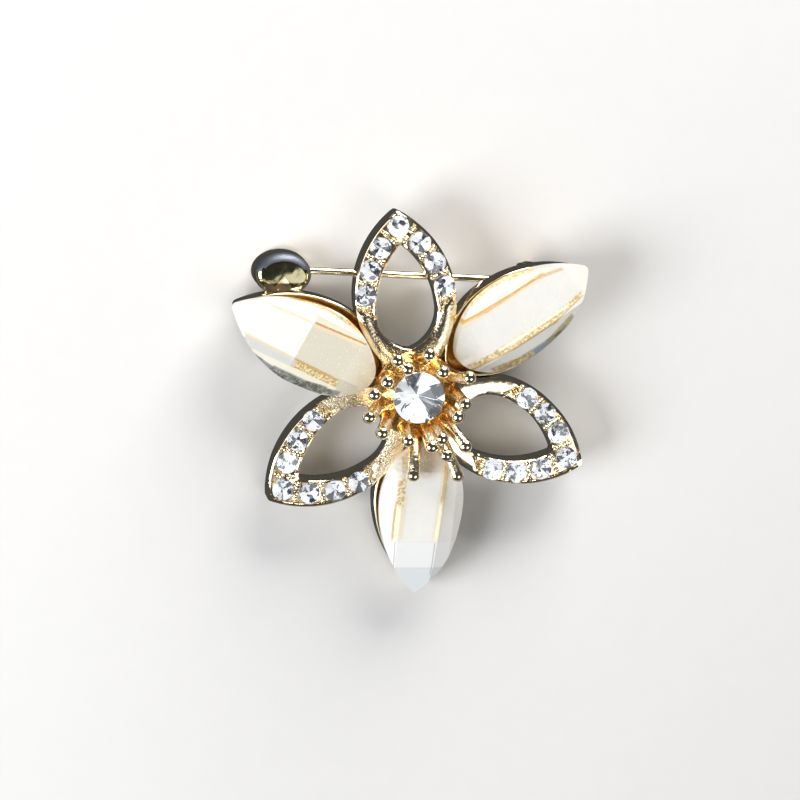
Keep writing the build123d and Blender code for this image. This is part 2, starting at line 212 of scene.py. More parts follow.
class BroochSizes(bpy.types.PropertyGroup):
    """Sizes of the parts that a user may want to change."""
    petal_depth: length("Petal depth", "How deep the metal of a petal is", 2.2)
    rim_lift: length("Rim lift", "How far a thin rim stands up beside the small stones", 0.14)
    channel_sink: length("Channel sink", "How far the metal between the rims is sunk", 0.22)
    bead_radius: length("Bead radius", "Radius of a bead prong beside a small stone", 0.28)
    stamen_radius: length("Stamen radius", "Radius of a stamen's rod", 0.60)
    ball_radius: length("Ball radius", "Radius of the ball on a stamen", 0.70)
    wire_radius: length("Wire radius", "Radius of the pin wire", 0.35)
    fused_grain: length("Fusing grain", "Size of the mesh that fuses the stamens with the hub",
                        0.085, 6)
    small_stone_growth: bpy.props.FloatProperty(
        name="Small stones", description="Size of the small stones as a share of their solids",
        default=1.07, min=1.0, max=1.1)


class BroochFinish(bpy.types.PropertyGroup):
    """Colours and gloss of the materials."""
    gold: colour("Gold", "Colour of the polished metal", (0.95, 0.84, 0.62))
    # Deep gold: random mottled patches of the metal's tone, and the painted shade and painted
    # reflection in the hub's hollows
    deep_gold: colour("Deep gold", "Colour of the metal in hollows, where it mirrors itself",
                      (0.82, 0.50, 0.16))
    gold_roughness: bpy.props.FloatProperty(
        name="Gold roughness", description="Roughness of the polished metal",
        default=0.11, min=0, max=1, subtype="FACTOR")
    cream: colour("Cream", "Colour of the inlays", (0.81, 0.785, 0.72))
    foil: colour("Foil", "Colour of the mirror behind the clear stones", (0.88, 0.90, 0.93))
    floor: colour("Floor", "Colour of the floor", (0.76, 0.75, 0.74))


class BroochLight(bpy.types.PropertyGroup):
    """Lights and camera of the stage."""
    key_power: power("Key light", "Power of the light at the top of the picture", 3.1)
    fill_power: power("Fill light", "Power of the light at the lower left", 1.9)
    side_power: power("Side light", "Power of the light at the lower right", 0.5)
    sky: bpy.props.FloatProperty(
        name="Sky", description="Strength of the light from all round", default=0.07, min=0)
    floor_band: bpy.props.FloatProperty(
        name="Floor band", description="Strength of the far floor in the metal's reflections",
        default=0.33, min=0)
    camera_distance: bpy.props.FloatProperty(
        name="Camera distance", description="How far the camera is from the flower",
        default=1.5, unit="LENGTH")


# ---------------------------------------------------------------- frames and selection

def flower_place():
    """Matrix from the flower's own frame in millimetres to the resting part in metres."""
    right, out = Vector(FLOWER_RIGHT), Vector(FLOWER_OUT)
    turn = Matrix((right, out.cross(right), out)).transposed().to_4x4()
    return Matrix.Scale(MM, 4) @ Matrix.Translation(FLOWER_AT) @ turn


def petal_place(azimuth, droop, set_out):
    """Where a petal's own frame stands: +X along the petal, +Z out of its top face."""
    return (Matrix.Rotation(radians(azimuth), 4, "Z") @ Matrix.Rotation(radians(droop), 4, "Y")
            @ Matrix.Translation((set_out, 0, 0)))


def seated(name, seats, leaf):
    """A cup's or an inlay's own frame: shifted and turned at its widest place."""
    turn, along, across = seats[name]
    return (petal_place(*CUP_PETALS[name])
            @ Matrix.Translation((leaf.widest_at + along, across, 0))
            @ Matrix.Rotation(radians(turn), 4, "Z")
            @ Matrix.Translation((-leaf.widest_at, 0, 0)))


def wire_place(at, height=0.0):
    """A frame on the pin wire's line: +X towards the hinge, +Z out of the face."""
    along = atan2(HINGE_AT[1] - CATCH_AT[1], HINGE_AT[0] - CATCH_AT[0])
    return Matrix.Translation((at[0], at[1], height)) @ Matrix.Rotation(along, 4, "Z")


def hold(*objs):
    """Selects only these objects and makes the first one active."""
    bpy.ops.object.select_all(action="DESELECT")
    for obj in objs:
        obj.select_set(True)
    bpy.context.view_layer.objects.active = objs[0]


@contextmanager
def shaping(obj):
    """Edit mode on one object, with all of its mesh selected."""
    hold(obj)
    bpy.ops.object.mode_set(mode="EDIT")
    bpy.ops.mesh.select_all(action="SELECT")
    yield
    bpy.ops.object.mode_set(mode="OBJECT")


def close_mesh(obj, reach=0.002):
    """Merges doubled points, drops edges without length and turns all faces outwards."""
    with shaping(obj):
        bpy.ops.mesh.remove_doubles(threshold=reach)
        bpy.ops.mesh.dissolve_degenerate(threshold=reach / 10)
        bpy.ops.mesh.select_all(action="SELECT")
        bpy.ops.mesh.normals_make_consistent(inside=False)


def modify(obj, kind, **settings):
    """Adds a modifier and applies it."""
    hold(obj)
    modifier = obj.modifiers.new(kind.title(), kind)
    for key, value in settings.items():
        setattr(modifier, key, value)
    bpy.ops.object.modifier_apply(modifier=modifier.name)


def combine(obj, tool, how):
    """Cuts, adds or intersects with another mesh, which is used up."""
    modify(obj, "BOOLEAN", object=tool, operation=how, solver="EXACT")
    mesh = tool.data
    bpy.data.objects.remove(tool)
    bpy.data.meshes.remove(mesh)


def join(objs):
    """Joins meshes into the first one."""
    hold(*objs)
    bpy.ops.object.join()
    return objs[0]


def bake_place(obj, place):
    """Moves an object's mesh by a matrix and leaves the object at the origin."""
    hold(obj)
    obj.matrix_world = place
    bpy.ops.object.transform_apply(location=True, rotation=True, scale=True)
    return obj


def twin(obj, place):
    """A copy of an object with a mesh of its own, moved by a matrix."""
    copy = obj.copy()
    copy.data = obj.data.copy()
    bpy.context.scene.collection.objects.link(copy)
    return bake_place(copy, place)


def lay_uv(obj):
    """UV map in the piece's own frame: U along and V across, with the axis at V 0.5."""
    mesh = obj.data
    points = numpy.empty(len(mesh.vertices) * 3)
    mesh.vertices.foreach_get("co", points)
    corners = numpy.empty(len(mesh.loops), dtype=int)
    mesh.loops.foreach_get("vertex_index", corners)
    spots = points.reshape(-1, 3)[corners, :2] / UV_SPAN + (0, 0.5)
    layer = mesh.uv_layers.new(name="petal")
    layer.data.foreach_set("uv", spots.ravel())


def finish_piece(obj, name, place, replaced, body="root", angle=35):
    """Names a piece, sets it down, smooths it, gives it its body and hides the parts it replaces.
    """
    obj.name = obj.data.name = name
    bake_place(obj, flower_place() @ place)
    bpy.ops.object.shade_smooth_by_angle(angle=radians(angle))
    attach(obj, body)
    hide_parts(*replaced)


# ---------------------------------------------------------------- basic forms

def added(primitive, **settings):
    """A new object from one of the primitive operators, selected alone."""
    bpy.ops.object.select_all(action="DESELECT")
    primitive(**settings)
    return bpy.context.object


def block(middle, lengths):
    """A box with its sides along the axes."""
    box = added(bpy.ops.mesh.primitive_cube_add, size=1, location=middle, scale=lengths)
    return bake_place(box, box.matrix_world.copy())


def rolled_sheet(count, rows, spot):
    """A grid sheet rolled up: point (i, j) goes to spot(i, j) and the seams are closed."""
    obj = added(bpy.ops.mesh.primitive_grid_add, x_subdivisions=count, y_subdivisions=rows,
                size=2)
    places = {}
    for vertex in obj.data.vertices:
        i = round((vertex.co.x + 1) / 2 * count)
        j = round((vertex.co.y + 1) / 2 * rows)
        places[vertex.index] = (i, j)
    for index, (i, j) in places.items():
        obj.data.vertices[index].co = spot(i % count, j)
    for face in obj.data.polygons:
        face.material_index = min(places[index][1] for index in face.vertices)
    close_mesh(obj)
    return obj


def turned(profile, sides=64, closed=False):
    """A lathe form about +Z: a circle extruded and scaled from one radius to the next."""
    radius, height = profile[0]
    obj = added(bpy.ops.mesh.primitive_circle_add, vertices=sides, radius=radius,
                location=(0, 0, height))
    bake_place(obj, obj.matrix_world.copy())
    rows = list(profile[1:]) + ([profile[0]] if closed else [])
    with shaping(obj):
        for wider, higher in rows:
            bpy.ops.mesh.extrude_edges_move(
                TRANSFORM_OT_translate={"value": (0, 0, higher - height)})
            scale = wider / radius
            bpy.ops.transform.resize(value=(scale, scale, 1), center_override=(0, 0, higher))
            radius, height = wider, higher
    if not closed:
        for radius, height in (profile[0], profile[-1]):
            close_pole(obj, radius, height)
    close_mesh(obj)
    return obj


def close_pole(obj, radius, height):
    """Merges the small circle at an end of a lathe form into one point."""
    with shaping(obj):
        bpy.ops.mesh.select_all(action="DESELECT")
    for vertex in obj.data.vertices:
        x, y, z = vertex.co
        vertex.select = hypot(x, y) < 1.5 * radius and abs(z - height) < 0.001
    bpy.ops.object.mode_set(mode="EDIT")
    bpy.ops.mesh.merge(type="CENTER")
    bpy.ops.object.mode_set(mode="OBJECT")


def peg(radius, low, high, sides):
    """A plain round cutter about +Z."""
    return turned(((0.01, low), (radius, low), (radius, high), (0.01, high)), sides)


def polar(azimuth, out, height):
    """A point at an azimuth in degrees, a distance from the axis and a height."""
    return out * cos(radians(azimuth)), out * sin(radians(azimuth)), height


def bend_of(run, half):
    """Radius of the arc that falls by half over a run from its top."""
    return (run ** 2 + half ** 2) / (2 * half)


def leaf_arc(run, half, corner, inset, share):
    """A quarter of a leaf, from its widest place (share 0) to its end (share 1)."""
    bend = bend_of(run, half)
    radius = bend - inset
    corner = max(corner - inset, 0.02)
    drop = bend - half
    corner_at = sqrt((radius - corner) ** 2 - drop ** 2)
    end_turn = atan2(corner_at, drop)
    arc_share = 0.8
    if share < arc_share:
        turn = end_turn * share / arc_share
        return radius * sin(turn), radius * cos(turn) - drop
    turn = end_turn + (pi / 2 - end_turn) * (share - arc_share) / (1 - arc_share)
    return corner_at + corner * sin(turn), corner * cos(turn)


def leaf_point(leaf, inset, station):
    """A point on a leaf's outline, moved inwards: stations 0 root, 1 side, 2 tip, 3 side."""
    side = 1 if station <= 2 else -1
    if side < 0:
        station = 4 - station
    if station >= 1:
        x, y = leaf_arc(leaf.reach - leaf.widest_at, leaf.width / 2, leaf.tip_radius,
                        inset, station - 1)
        return leaf.widest_at + x, side * y
    x, y = leaf_arc(leaf.widest_at - leaf.root_at, leaf.width / 2, leaf.root_radius,
                    inset, 1 - station)
    return leaf.widest_at - x, side * y


def leaf_shell(leaf, rows, count):
    """A closed leaf form. Rows: inset and height, or None and height for the middle line."""
    insets = [inset for inset, height in rows if inset is not None]

    def spot(i, j):
        inset, height = rows[j]
        station = i * 4 / count
        if inset is None:
            neighbour = insets[0] if j == 0 else insets[-1]
            return leaf_point(leaf, neighbour, station)[0], 0, height
        return (*leaf_point(leaf, inset, station), height)

    return rolled_sheet(count, len(rows) - 1, spot)


def ease(low, high, value):
    """0 below low, 1 above high, and a soft step between them."""
    share = min(max((value - low) / (high - low), 0), 1)
    return share * share * (3 - 2 * share)


# ---------------------------------------------------------------- small stones' places

def stone_spots():
    """Centres of a ring petal's stones, tip first, on the arc midway along its band."""
    reach = (RING.reach + WINDOW.reach) / 2
    half = (RING.width + WINDOW.width) / 4
    widest = (RING.widest_at + WINDOW.widest_at) / 2
    run = reach - widest
    bend = bend_of(run, half)
    tip_angle = atan2(run, bend - half)
    spots = [(reach, 0.0)]
    for side in (1, -1):
        for number in range(STONES_A_SIDE):
            angle = tip_angle - (STONE_STEPS[0] + number * STONE_STEPS[1]) / bend
            spots.append((widest + bend * sin(angle), side * (half - bend + bend * cos(angle))))
    return spots


def bead_spots():
    """Two beads at each edge between neighbouring stones and past the last one."""
    spots = stone_spots()
    beads = []
    for side_start in (1, 1 + STONES_A_SIDE):
        chain = [spots[0]] + spots[side_start:side_start + STONES_A_SIDE]
        last, before = chain[-1], chain[-2]
        chain.append((2 * last[0] - before[0], 2 * last[1] - before[1]))
        for here, there in zip(chain, chain[1:]):
            run = (there[0] - here[0], there[1] - here[1])
            gap = hypot(*run)
            across = (-run[1] / gap, run[0] / gap)
            at_end = there == chain[-1]
            share = END_BEAD_SHARE if at_end else BEAD_SHARE
            nearness = END_BEAD_NEARNESS if at_end else 1.0
            for side in (*BEAD_SPREADS, *(-spread for spread in BEAD_SPREADS)):
                side *= nearness
                beads.append((here[0] + share * run[0] + side * across[0],
                              here[1] + share * run[1] + side * across[1]))
    return beads


# ---------------------------------------------------------------- node helpers

class NodeDesk:
    """Adds nodes to a tree. Inputs are plain values, or sockets that get linked."""

    def __init__(self, tree):
        self.tree = tree

    def add(self, kind, links=None, **settings):
        node = self.tree.nodes.new("ShaderNode" + kind)
        for key, value in settings.items():
            setattr(node, key, value)
        for key, value in (links or {}).items():
            if isinstance(value, bpy.types.NodeSocket):
                self.tree.links.new(value, node.inputs[key])
            else:
                node.inputs[key].default_value = value
        return node

    def link(self, value, *sockets):
        """Feeds one value into each of these sockets."""
        for socket in sockets:
            self.tree.links.new(value, socket)

    def group(self, tree, *values):
        """A node group with its inputs set in their order."""
        node = self.add("Group", node_tree=tree)
        for socket, value in zip(node.inputs, values):
            socket.default_value = value
        return node.outputs

    def math(self, how, first, second=0.0, third=0.0, clamp=False):
        node = self.add("Math", {0: first, 1: second, 2: third}, operation=how, use_clamp=clamp)
        return node.outputs[0]

    def step(self, value, low, high):
        """0 at low and 1 at high, with soft ends."""
        node = self.add("MapRange", {"Value": value, "From Min": low, "From Max": high},
                        interpolation_type="SMOOTHSTEP")
        return node.outputs["Result"]

    def blend(self, share, first, second):
        """A colour between two others."""
        node = self.add("Mix", {0: share, 6: first, 7: second}, data_type="RGBA")
        return node.outputs[2]

    def noise(self, vector, scale, detail=3.0, roughness=0.5):
        node = self.add("TexNoise", {"Vector": vector, "Scale": scale, "Detail": detail,
                                     "Roughness": roughness})
        return node.outputs["Fac"]

    def parts(self, kind, value):
        """The three numbers of a vector (XYZ) or of a colour (Color)."""
        return self.add("Separate" + kind, {0: value}).outputs

    def spots(self, vector, scale, kind="F1", name="Distance"):
        node = self.add("TexVoronoi", {"Vector": vector, "Scale": scale}, feature=kind)
        return node.outputs[name]

    def millimetres(self):
        """Object coordinates in millimetres."""
        place = self.add("TexCoord").outputs["Object"]
        return self.add("Mapping", {"Vector": place, "Scale": (1 / MM,) * 3}).outputs[0]


def shade(colour):
    """A colour as a socket value."""
    return (*colour, 1.0)


def new_group(name, inputs, outputs):
    """A shader node group with named number sockets. Inputs: label and starting value."""
    tree = bpy.data.node_groups.new(name, "ShaderNodeTree")
    kind = "NodeSocketFloat"
    for label, value in inputs:
        socket = tree.interface.new_socket(label, in_out="INPUT", socket_type=kind)
        socket.default_value = value
    for label in outputs:
        tree.interface.new_socket(label, in_out="OUTPUT", socket_type=kind)
    entry, leave = tree.nodes.new("NodeGroupInput"), tree.nodes.new("NodeGroupOutput")
    return NodeDesk(tree), entry.outputs, leave.inputs


def cast_grain_group():
    """Cast metal: a soft wavy surface with grains and pits of a given size."""
    if "Cast grain" in bpy.data.node_groups:
        return bpy.data.node_groups["Cast grain"]
    desk, given, made = new_group(
        "Cast grain", (("Size", 0.3), ("Waves", 0.3), ("Grains", 0.3)),
        ("Height", "Grains", "Clouds"))
    place = desk.millimetres()
    scale = desk.math("DIVIDE", 1.0, given["Size"])
    grains = desk.spots(place, scale, "SMOOTH_F1")
    fine = desk.noise(place, desk.math("MULTIPLY", scale, 2.2), 4.0, 0.6)
    waves = desk.noise(place, 0.55, 2.0)
    clouds = desk.noise(place, 0.3, 4.0, 0.65)
    mottle = desk.math("MULTIPLY_ADD", grains, 0.7, desk.math("MULTIPLY", fine, 0.5))
    height = desk.math("MULTIPLY_ADD", mottle, given["Grains"],
                       desk.math("MULTIPLY", waves, given["Waves"]))
    for label, value in (("Height", height), ("Grains", mottle), ("Clouds", clouds)):
        desk.link(value, made[label])
    return desk.tree


def glitter_group():
    """Tiny bright specks: cells that differ, of which only the brightest few show."""
    if "Glitter" in bpy.data.node_groups:
        return bpy.data.node_groups["Glitter"]
    desk, given, made = new_group("Glitter", (("Size", 0.12), ("Share", 0.1)), ("Specks",))
    place = desk.millimetres()
    scale = desk.math("DIVIDE", 1.0, given["Size"])
    cell = desk.add("TexVoronoi", {"Vector": place, "Scale": scale})
    pick = desk.parts("Color", cell.outputs["Color"])[0]
    floor = desk.math("SUBTRACT", 1.0, given["Share"])
    chosen = desk.step(pick, floor, desk.math("ADD", floor, 0.03))
    dot = desk.step(cell.outputs["Distance"], 0.55, 0.2)
    desk.link(desk.math("MULTIPLY", chosen, dot), made["Specks"])
    return desk.tree


def streak_group():
    """A ragged line across a petal's own map, between two points given along and across."""
    if "Streak" in bpy.data.node_groups:
        return bpy.data.node_groups["Streak"]
    desk, given, made = new_group(
        "Streak", (("From", 5.0), ("Across 1", 0.0), ("To", 20.0), ("Across 2", 0.0),
                   ("Half width", 0.3), ("Ragged", 0.2)), ("Mask",))
    parts = desk.parts("XYZ", desk.add("UVMap", uv_map="petal").outputs[0])
    along = desk.math("MULTIPLY", parts[0], UV_SPAN)
    across = desk.math("MULTIPLY", desk.math("SUBTRACT", parts[1], 0.5), UV_SPAN)
    wobble = desk.math("SUBTRACT", desk.noise(desk.millimetres(), 1.6, 5.0, 0.7), 0.5)
    shift = desk.math("MULTIPLY", wobble, given["Ragged"])
    line = desk.add("MapRange", {"Value": along, "From Min": given["From"],
                                 "From Max": given["To"], "To Min": given["Across 1"],
                                 "To Max": given["Across 2"]}, clamp=False).outputs[0]
    beside = desk.math("SUBTRACT", desk.math("SUBTRACT", across, line), shift)
    apart = desk.math("ABSOLUTE", beside)
    half = given["Half width"]
    body = desk.step(apart, half, desk.math("MULTIPLY", half, 0.6))
    soft = desk.math("MULTIPLY_ADD", given["Ragged"], 3.0, 0.04)
    start = desk.step(along, given["From"], desk.math("ADD", given["From"], soft))
    end = desk.step(along, given["To"], desk.math("SUBTRACT", given["To"], soft))
    ends = desk.math("MULTIPLY", start, end)
    desk.link(desk.math("MULTIPLY", body, ends), made["Mask"])
    return desk.tree


def new_material(name, **values):
    """A material with one Principled shader, whose plain values sit on its own sockets."""
    if name in bpy.data.materials:
        return None, None, bpy.data.materials[name]
    material = bpy.data.materials.new(name)
    material.use_nodes = True
    desk = NodeDesk(material.node_tree)
    shader = material.node_tree.nodes["Principled BSDF"].inputs
    for label, value in values.items():
        shader[label.replace("_", " ")].default_value = value
    return desk, shader, material


def metal(name):
    """Polished cast gold, or another finish of the metal, from its row of the table."""
    finish = bpy.context.scene.brooch_finish
    grain, waves, grains, relief, deep_share, rough = METALS[name]
    desk, shader, material = new_material(name, Metallic=1.0)
    if desk is None:
        return material
    cast = desk.group(cast_grain_group(), grain, waves, grains)
    if name in METAL_TINTS:
        shader["Base Color"].default_value = shade(METAL_TINTS[name])
    else:
        dark = desk.step(cast["Grains"], 0.45, 0.85)
        stain = desk.step(cast["Clouds"], 0.45, 0.75)
        share = desk.math("MULTIPLY", desk.math("ADD", dark, stain), deep_share, clamp=True)
        if name == HOLLOW_SHADE_METAL:
            # Deep gold lower down in the hub: painted shade and painted reflection in its hollows
            height = desk.parts("XYZ", desk.millimetres())[2]
            painted_hollow_shade = desk.step(height, HOLLOW_SHADE_FROM, HOLLOW_SHADE_TO)
            share = desk.math("ADD", painted_hollow_shade, share, clamp=True)
        colour = desk.blend(share, shade(finish.gold), shade(finish.deep_gold))
        desk.link(colour, shader["Base Color"])
    low = finish.gold_roughness + rough
    gloss = desk.add("MapRange", {"Value": cast["Grains"], "From Min": 0.3, "From Max": 0.9,
                                  "To Min": low * 0.75, "To Max": low * 1.6})
    desk.link(gloss.outputs[0], shader["Roughness"])
    bump = desk.add("Bump", {"Height": cast["Height"], "Distance": relief * MM})
    desk.link(bump.outputs[0], shader["Normal"])
    return material


def dress(obj, *finishes):
    """Gives an object these finishes of the metal, in the order of its faces' indexes."""
    for name in finishes:
        obj.data.materials.append(metal(name))


def rays(desk, place):
    """Coordinates that run round the centre stone's axis and outwards, for long shards."""
    round_scale, out_scale = 3.4, 0.4
    parts = desk.parts("XYZ", place)
    x = desk.math("SUBTRACT", parts[0], FLOWER_AT[0])
    y = desk.math("SUBTRACT", parts[1], FLOWER_AT[1])
    turn = desk.math("MULTIPLY", desk.math("ARCTAN2", y, x), round_scale)
    out = desk.math("SQRT", desk.math("MULTIPLY_ADD", x, x, desk.math("MULTIPLY", y, y)))
    out = desk.math("MULTIPLY", out, out_scale)
    return desk.add("CombineXYZ", {0: turn, 1: out}).outputs[0]


def stone_materials(size):
    """Clear glass for a stone's crown, and its foiled back in four tones with small shards: the
    tones and shards are painted reflections, and the glow is painted light.
    """
    light = shade(bpy.context.scene.brooch_finish.foil)
    shards = SHARDS_PER_MM[size]
    desk, shader, clear = new_material("stone_clear", Transmission_Weight=1.0, Roughness=0.01,
                                       IOR=1.55)
    if desk is not None:
        haze = desk.noise(desk.millimetres(), 0.8, 2.0)
        tint = desk.blend(haze, (0.93, 0.96, 1.0, 1), (1.0, 0.99, 0.97, 1))
        desk.link(tint, shader["Base Color"])
    made = [clear]
    for name, share, painted_glow in FOILS[size]:
        desk, shader, foil = new_material(f"foil_{size}_{name}", Roughness=0.25,
                                          Emission_Strength=painted_glow)
        place = desk.millimetres()
        if size == "large":
            place = rays(desk, place)
        parts = desk.parts("Color", desk.spots(place, shards, "F1", "Color"))
        large = desk.step(parts[0], share, share + 0.04)
        fine = desk.spots(place, shards * SPLINTERS_A_SHARD, "F1", "Color")
        splinters = desk.parts("Color", fine)[2]
        dark = desk.math("MAXIMUM", large, desk.step(splinters, 0.88, 0.9))
        deep = desk.step(parts[1], 0.5, 0.9)
        # Dark shards: painted shade and painted reflection of dark surroundings
        painted_shade = desk.blend(deep, (0.20, 0.215, 0.24, 1), (0.03, 0.033, 0.04, 1))
        tone = desk.blend(dark, light, painted_shade)
        desk.link(tone, shader["Base Color"], shader["Emission Color"])
        made.append(foil)
    return made


def inlay_material(name, streaks):
    """Cream inlay with clouds, specks, and streaks that are plain, glittering or smoky."""
    finish = bpy.context.scene.brooch_finish
    desk, shader, material = new_material(name, Roughness=0.32, Coat_Weight=0.35,
                                          Coat_Roughness=0.05, Subsurface_Weight=0.15,
                                          Subsurface_Scale=0.001)
    place = desk.millimetres()
    clouds = desk.step(desk.noise(place, 0.45, 4.0, 0.6), 0.35, 0.7)
    colour = desk.blend(clouds, shade(finish.cream), (0.90, 0.88, 0.83, 1))
    fine = desk.step(desk.noise(place, 3.4, 3.0, 0.7), 0.42, 0.6)
    smoke = desk.noise(place, 1.1, 4.0, 0.7)
    tints = {
        "glitter": desk.blend(fine, (0.54, 0.35, 0.12, 1), (0.97, 0.84, 0.50, 1)),
        "amber": desk.blend(fine, (0.30, 0.15, 0.03, 1), (0.66, 0.38, 0.10, 1)),
        "smoke": desk.blend(desk.step(smoke, 0.4, 0.6), (0.05, 0.055, 0.05, 1),
                            (0.26, 0.27, 0.24, 1)),
    }
    for tint, *places, strength in streaks:
        share = desk.math("MULTIPLY", desk.group(streak_group(), *places)[0], strength)
        colour = desk.blend(share, colour, tints[tint] if tint in tints else shade(tint))
    bright = desk.math("MULTIPLY", desk.group(glitter_group())[0], 0.8)
    colour = desk.blend(bright, colour, (1.0, 0.93, 0.62, 1))
    desk.link(colour, shader["Base Color"])
    relief = desk.add("Bump", {"Height": desk.noise(place, 6.0, 3.0), "Distance": 0.004 * MM})
    desk.link(relief.outputs[0], shader["Normal"])
    return material


# ---------------------------------------------------------------- pieces

class BROOCH_OT_open_petals(bpy.types.Operator):
    """Three open petals: raised rims, a sunk band for the stones, pits and beads"""
    bl_idname = "brooch.open_petals"
    bl_label = "Open petals"

    def execute(self, context):
        sizes = context.scene.brooch_sizes
        beads = self.beads(sizes.bead_radius / MM)
        dress(beads, "bead_gold")
        for name, place in RING_PETALS.items():
            petal = self.petal(sizes, *RING_SHAPES[name])
            dress(petal, "petal_gold", "arm_gold_" + name, "channel_gold")
            own_beads = twin(beads, Matrix.Identity(4))
            for piece, label in ((petal, "open_petal_"), (own_beads, "beads_")):
                lay_uv(piece)
                finish_piece(piece, label + name, petal_place(*place), ["flower_casting"])
        bpy.data.objects.remove(beads)
        return {"FINISHED"}

    def petal(self, sizes, reach, window_reach, crown):
        """One open petal: crowned arms near the hub, and rims round a sunk band further out."""
        depth = sizes.petal_depth / MM
        lift = sizes.rim_lift / MM
        sink = sizes.channel_sink / MM
        ring, window = RING._replace(reach=reach), WINDOW._replace(reach=window_reach)
        # Rows round the metal: share from the outer to the inner edge, inset, height
        foot = ((0.0, 0.12, -depth), (0.0, 0.03, 0.04 - depth), (0.0, 0.0, 0.15 - depth))
        rim = ((0.0, 0.0, -0.5), (0.0, 0.0, -0.25), (0.0, 0.04, -0.08), (0.0, 0.14, 0.0),
               (0.0, 0.26, -0.02), (0.0, 0.33, -0.08))
        band = tuple((share / 8, 0.38, None) for share in range(9))
        half = foot + rim
        back = tuple((1.0, inset, height) for share, inset, height in reversed(half))
        rows = half + band + back
        # Heights below this belong to the side wall, which the rims and the arms leave alone
        wall_below = -0.1
        arm_fall, arm_sink = 0.6 * crown, 0.02
        count = 192

        def spot(i, j):
            share, inset, height = rows[j % len(rows)]
            station = i * 4 / count
            outer = leaf_point(ring, inset, station)
            inner = leaf_point(window, -inset, station)
            x = outer[0] + share * (inner[0] - outer[0])
            y = outer[1] + share * (inner[1] - outer[1])
            if height is not None and height < wall_below:
                return x, y, height
            stones_here = ease(*RIMS_START, outer[0]) * (1 - ease(*RIMS_STOP, outer[0]))
            across = hypot(inner[0] - outer[0], inner[1] - outer[1])
            edge = inset + across * min(share, 1 - share)
            rise = 1 - (1 - min(edge / (across / 2 + inset), 1)) ** 2
            arm = crown * rise - arm_fall - arm_sink
            if height is None:
                height = -sink
            else:
                height += lift
            return x, y, arm + stones_here * (height - arm)

        petal = rolled_sheet(count, len(rows), spot)
        first_band = len(half) - 1
        for face in petal.data.polygons:
            on_top = first_band - 4 <= face.material_index < first_band + len(band) + 5
            on_band = first_band <= face.material_index < first_band + len(band) + 1
            arm = face.center.x < ARM_END
            face.material_index = 1 if arm and on_top else 2 if on_band and not arm else 0
        combine(petal, self.pits(), "DIFFERENCE")
        return petal

    def pits(self):
        """One cutter for all the stones' seats: cones that end in a short collar."""
        radius, collar_height, top, lift = 1.10, -0.08, 0.6, 0.05
        pit = turned(((0.02, -1.12), (radius, collar_height), (radius, top), (0.02, top)), 48)
        tools = [twin(pit, Matrix.Translation((x, y, lift))) for x, y in stone_spots()]
        bpy.data.objects.remove(pit)
        return join(tools)

    def beads(self, radius):
        """Little uneven beads that hold the stones."""
        bead = added(bpy.ops.mesh.primitive_ico_sphere_add, subdivisions=3, radius=radius)
        copies, height = [], 0.08
        for number, (x, y) in enumerate(bead_spots()):
            stretch = Matrix.Diagonal((1 + 0.25 * sin(number * 2.3), 1 + 0.2 * cos(number * 1.7),
                                       1.1 + 0.15 * sin(number * 3.1), 1))
            turn = Matrix.Rotation(number * 1.1, 4, "Z")
            copies.append(twin(bead, Matrix.Translation((x, y, height)) @ turn @ stretch))
        bpy.data.objects.remove(bead)
        return join(copies)


class BROOCH_OT_cups(bpy.types.Operator):
    """Three cup petals: a thin rounded rim round a dished floor"""
    bl_idname = "brooch.cups"
    bl_label = "Cup petals"

    # The row of the cup's section from which its inner side is deep gold
    FLOOR_ROW = 12

    def execute(self, context):
        depth = context.scene.brooch_sizes.petal_depth / MM
        floor = 0.8 - depth
        rows = ((None, -depth), (0.4, -depth), (0.12, -depth), (0.03, 0.04 - depth),
                (0.0, 0.15 - depth), (0.0, -1.0), (0.0, -0.1), (0.02, -0.03), (0.06, 0.0),
                (0.14, 0.0), (0.2, -0.03), (0.24, -0.12), (0.32, floor + 0.2),
                (0.44, floor + 0.06), (0.6, floor), (1.6, floor), (None, floor))
        cup = leaf_shell(CUP, rows, 160)
        for face in cup.data.polygons:
            face.material_index = int(face.material_index >= self.FLOOR_ROW)
        dress(cup, "cup_gold", "cup_floor")
        for name in CUP_PETALS:
            piece = twin(cup, Matrix.Identity(4))
            lay_uv(piece)
            finish_piece(piece, "cup_" + name, seated(name, CUP_SEATS, CUP), ["flower_casting"])
        bpy.data.objects.remove(cup)
        return {"FINISHED"}


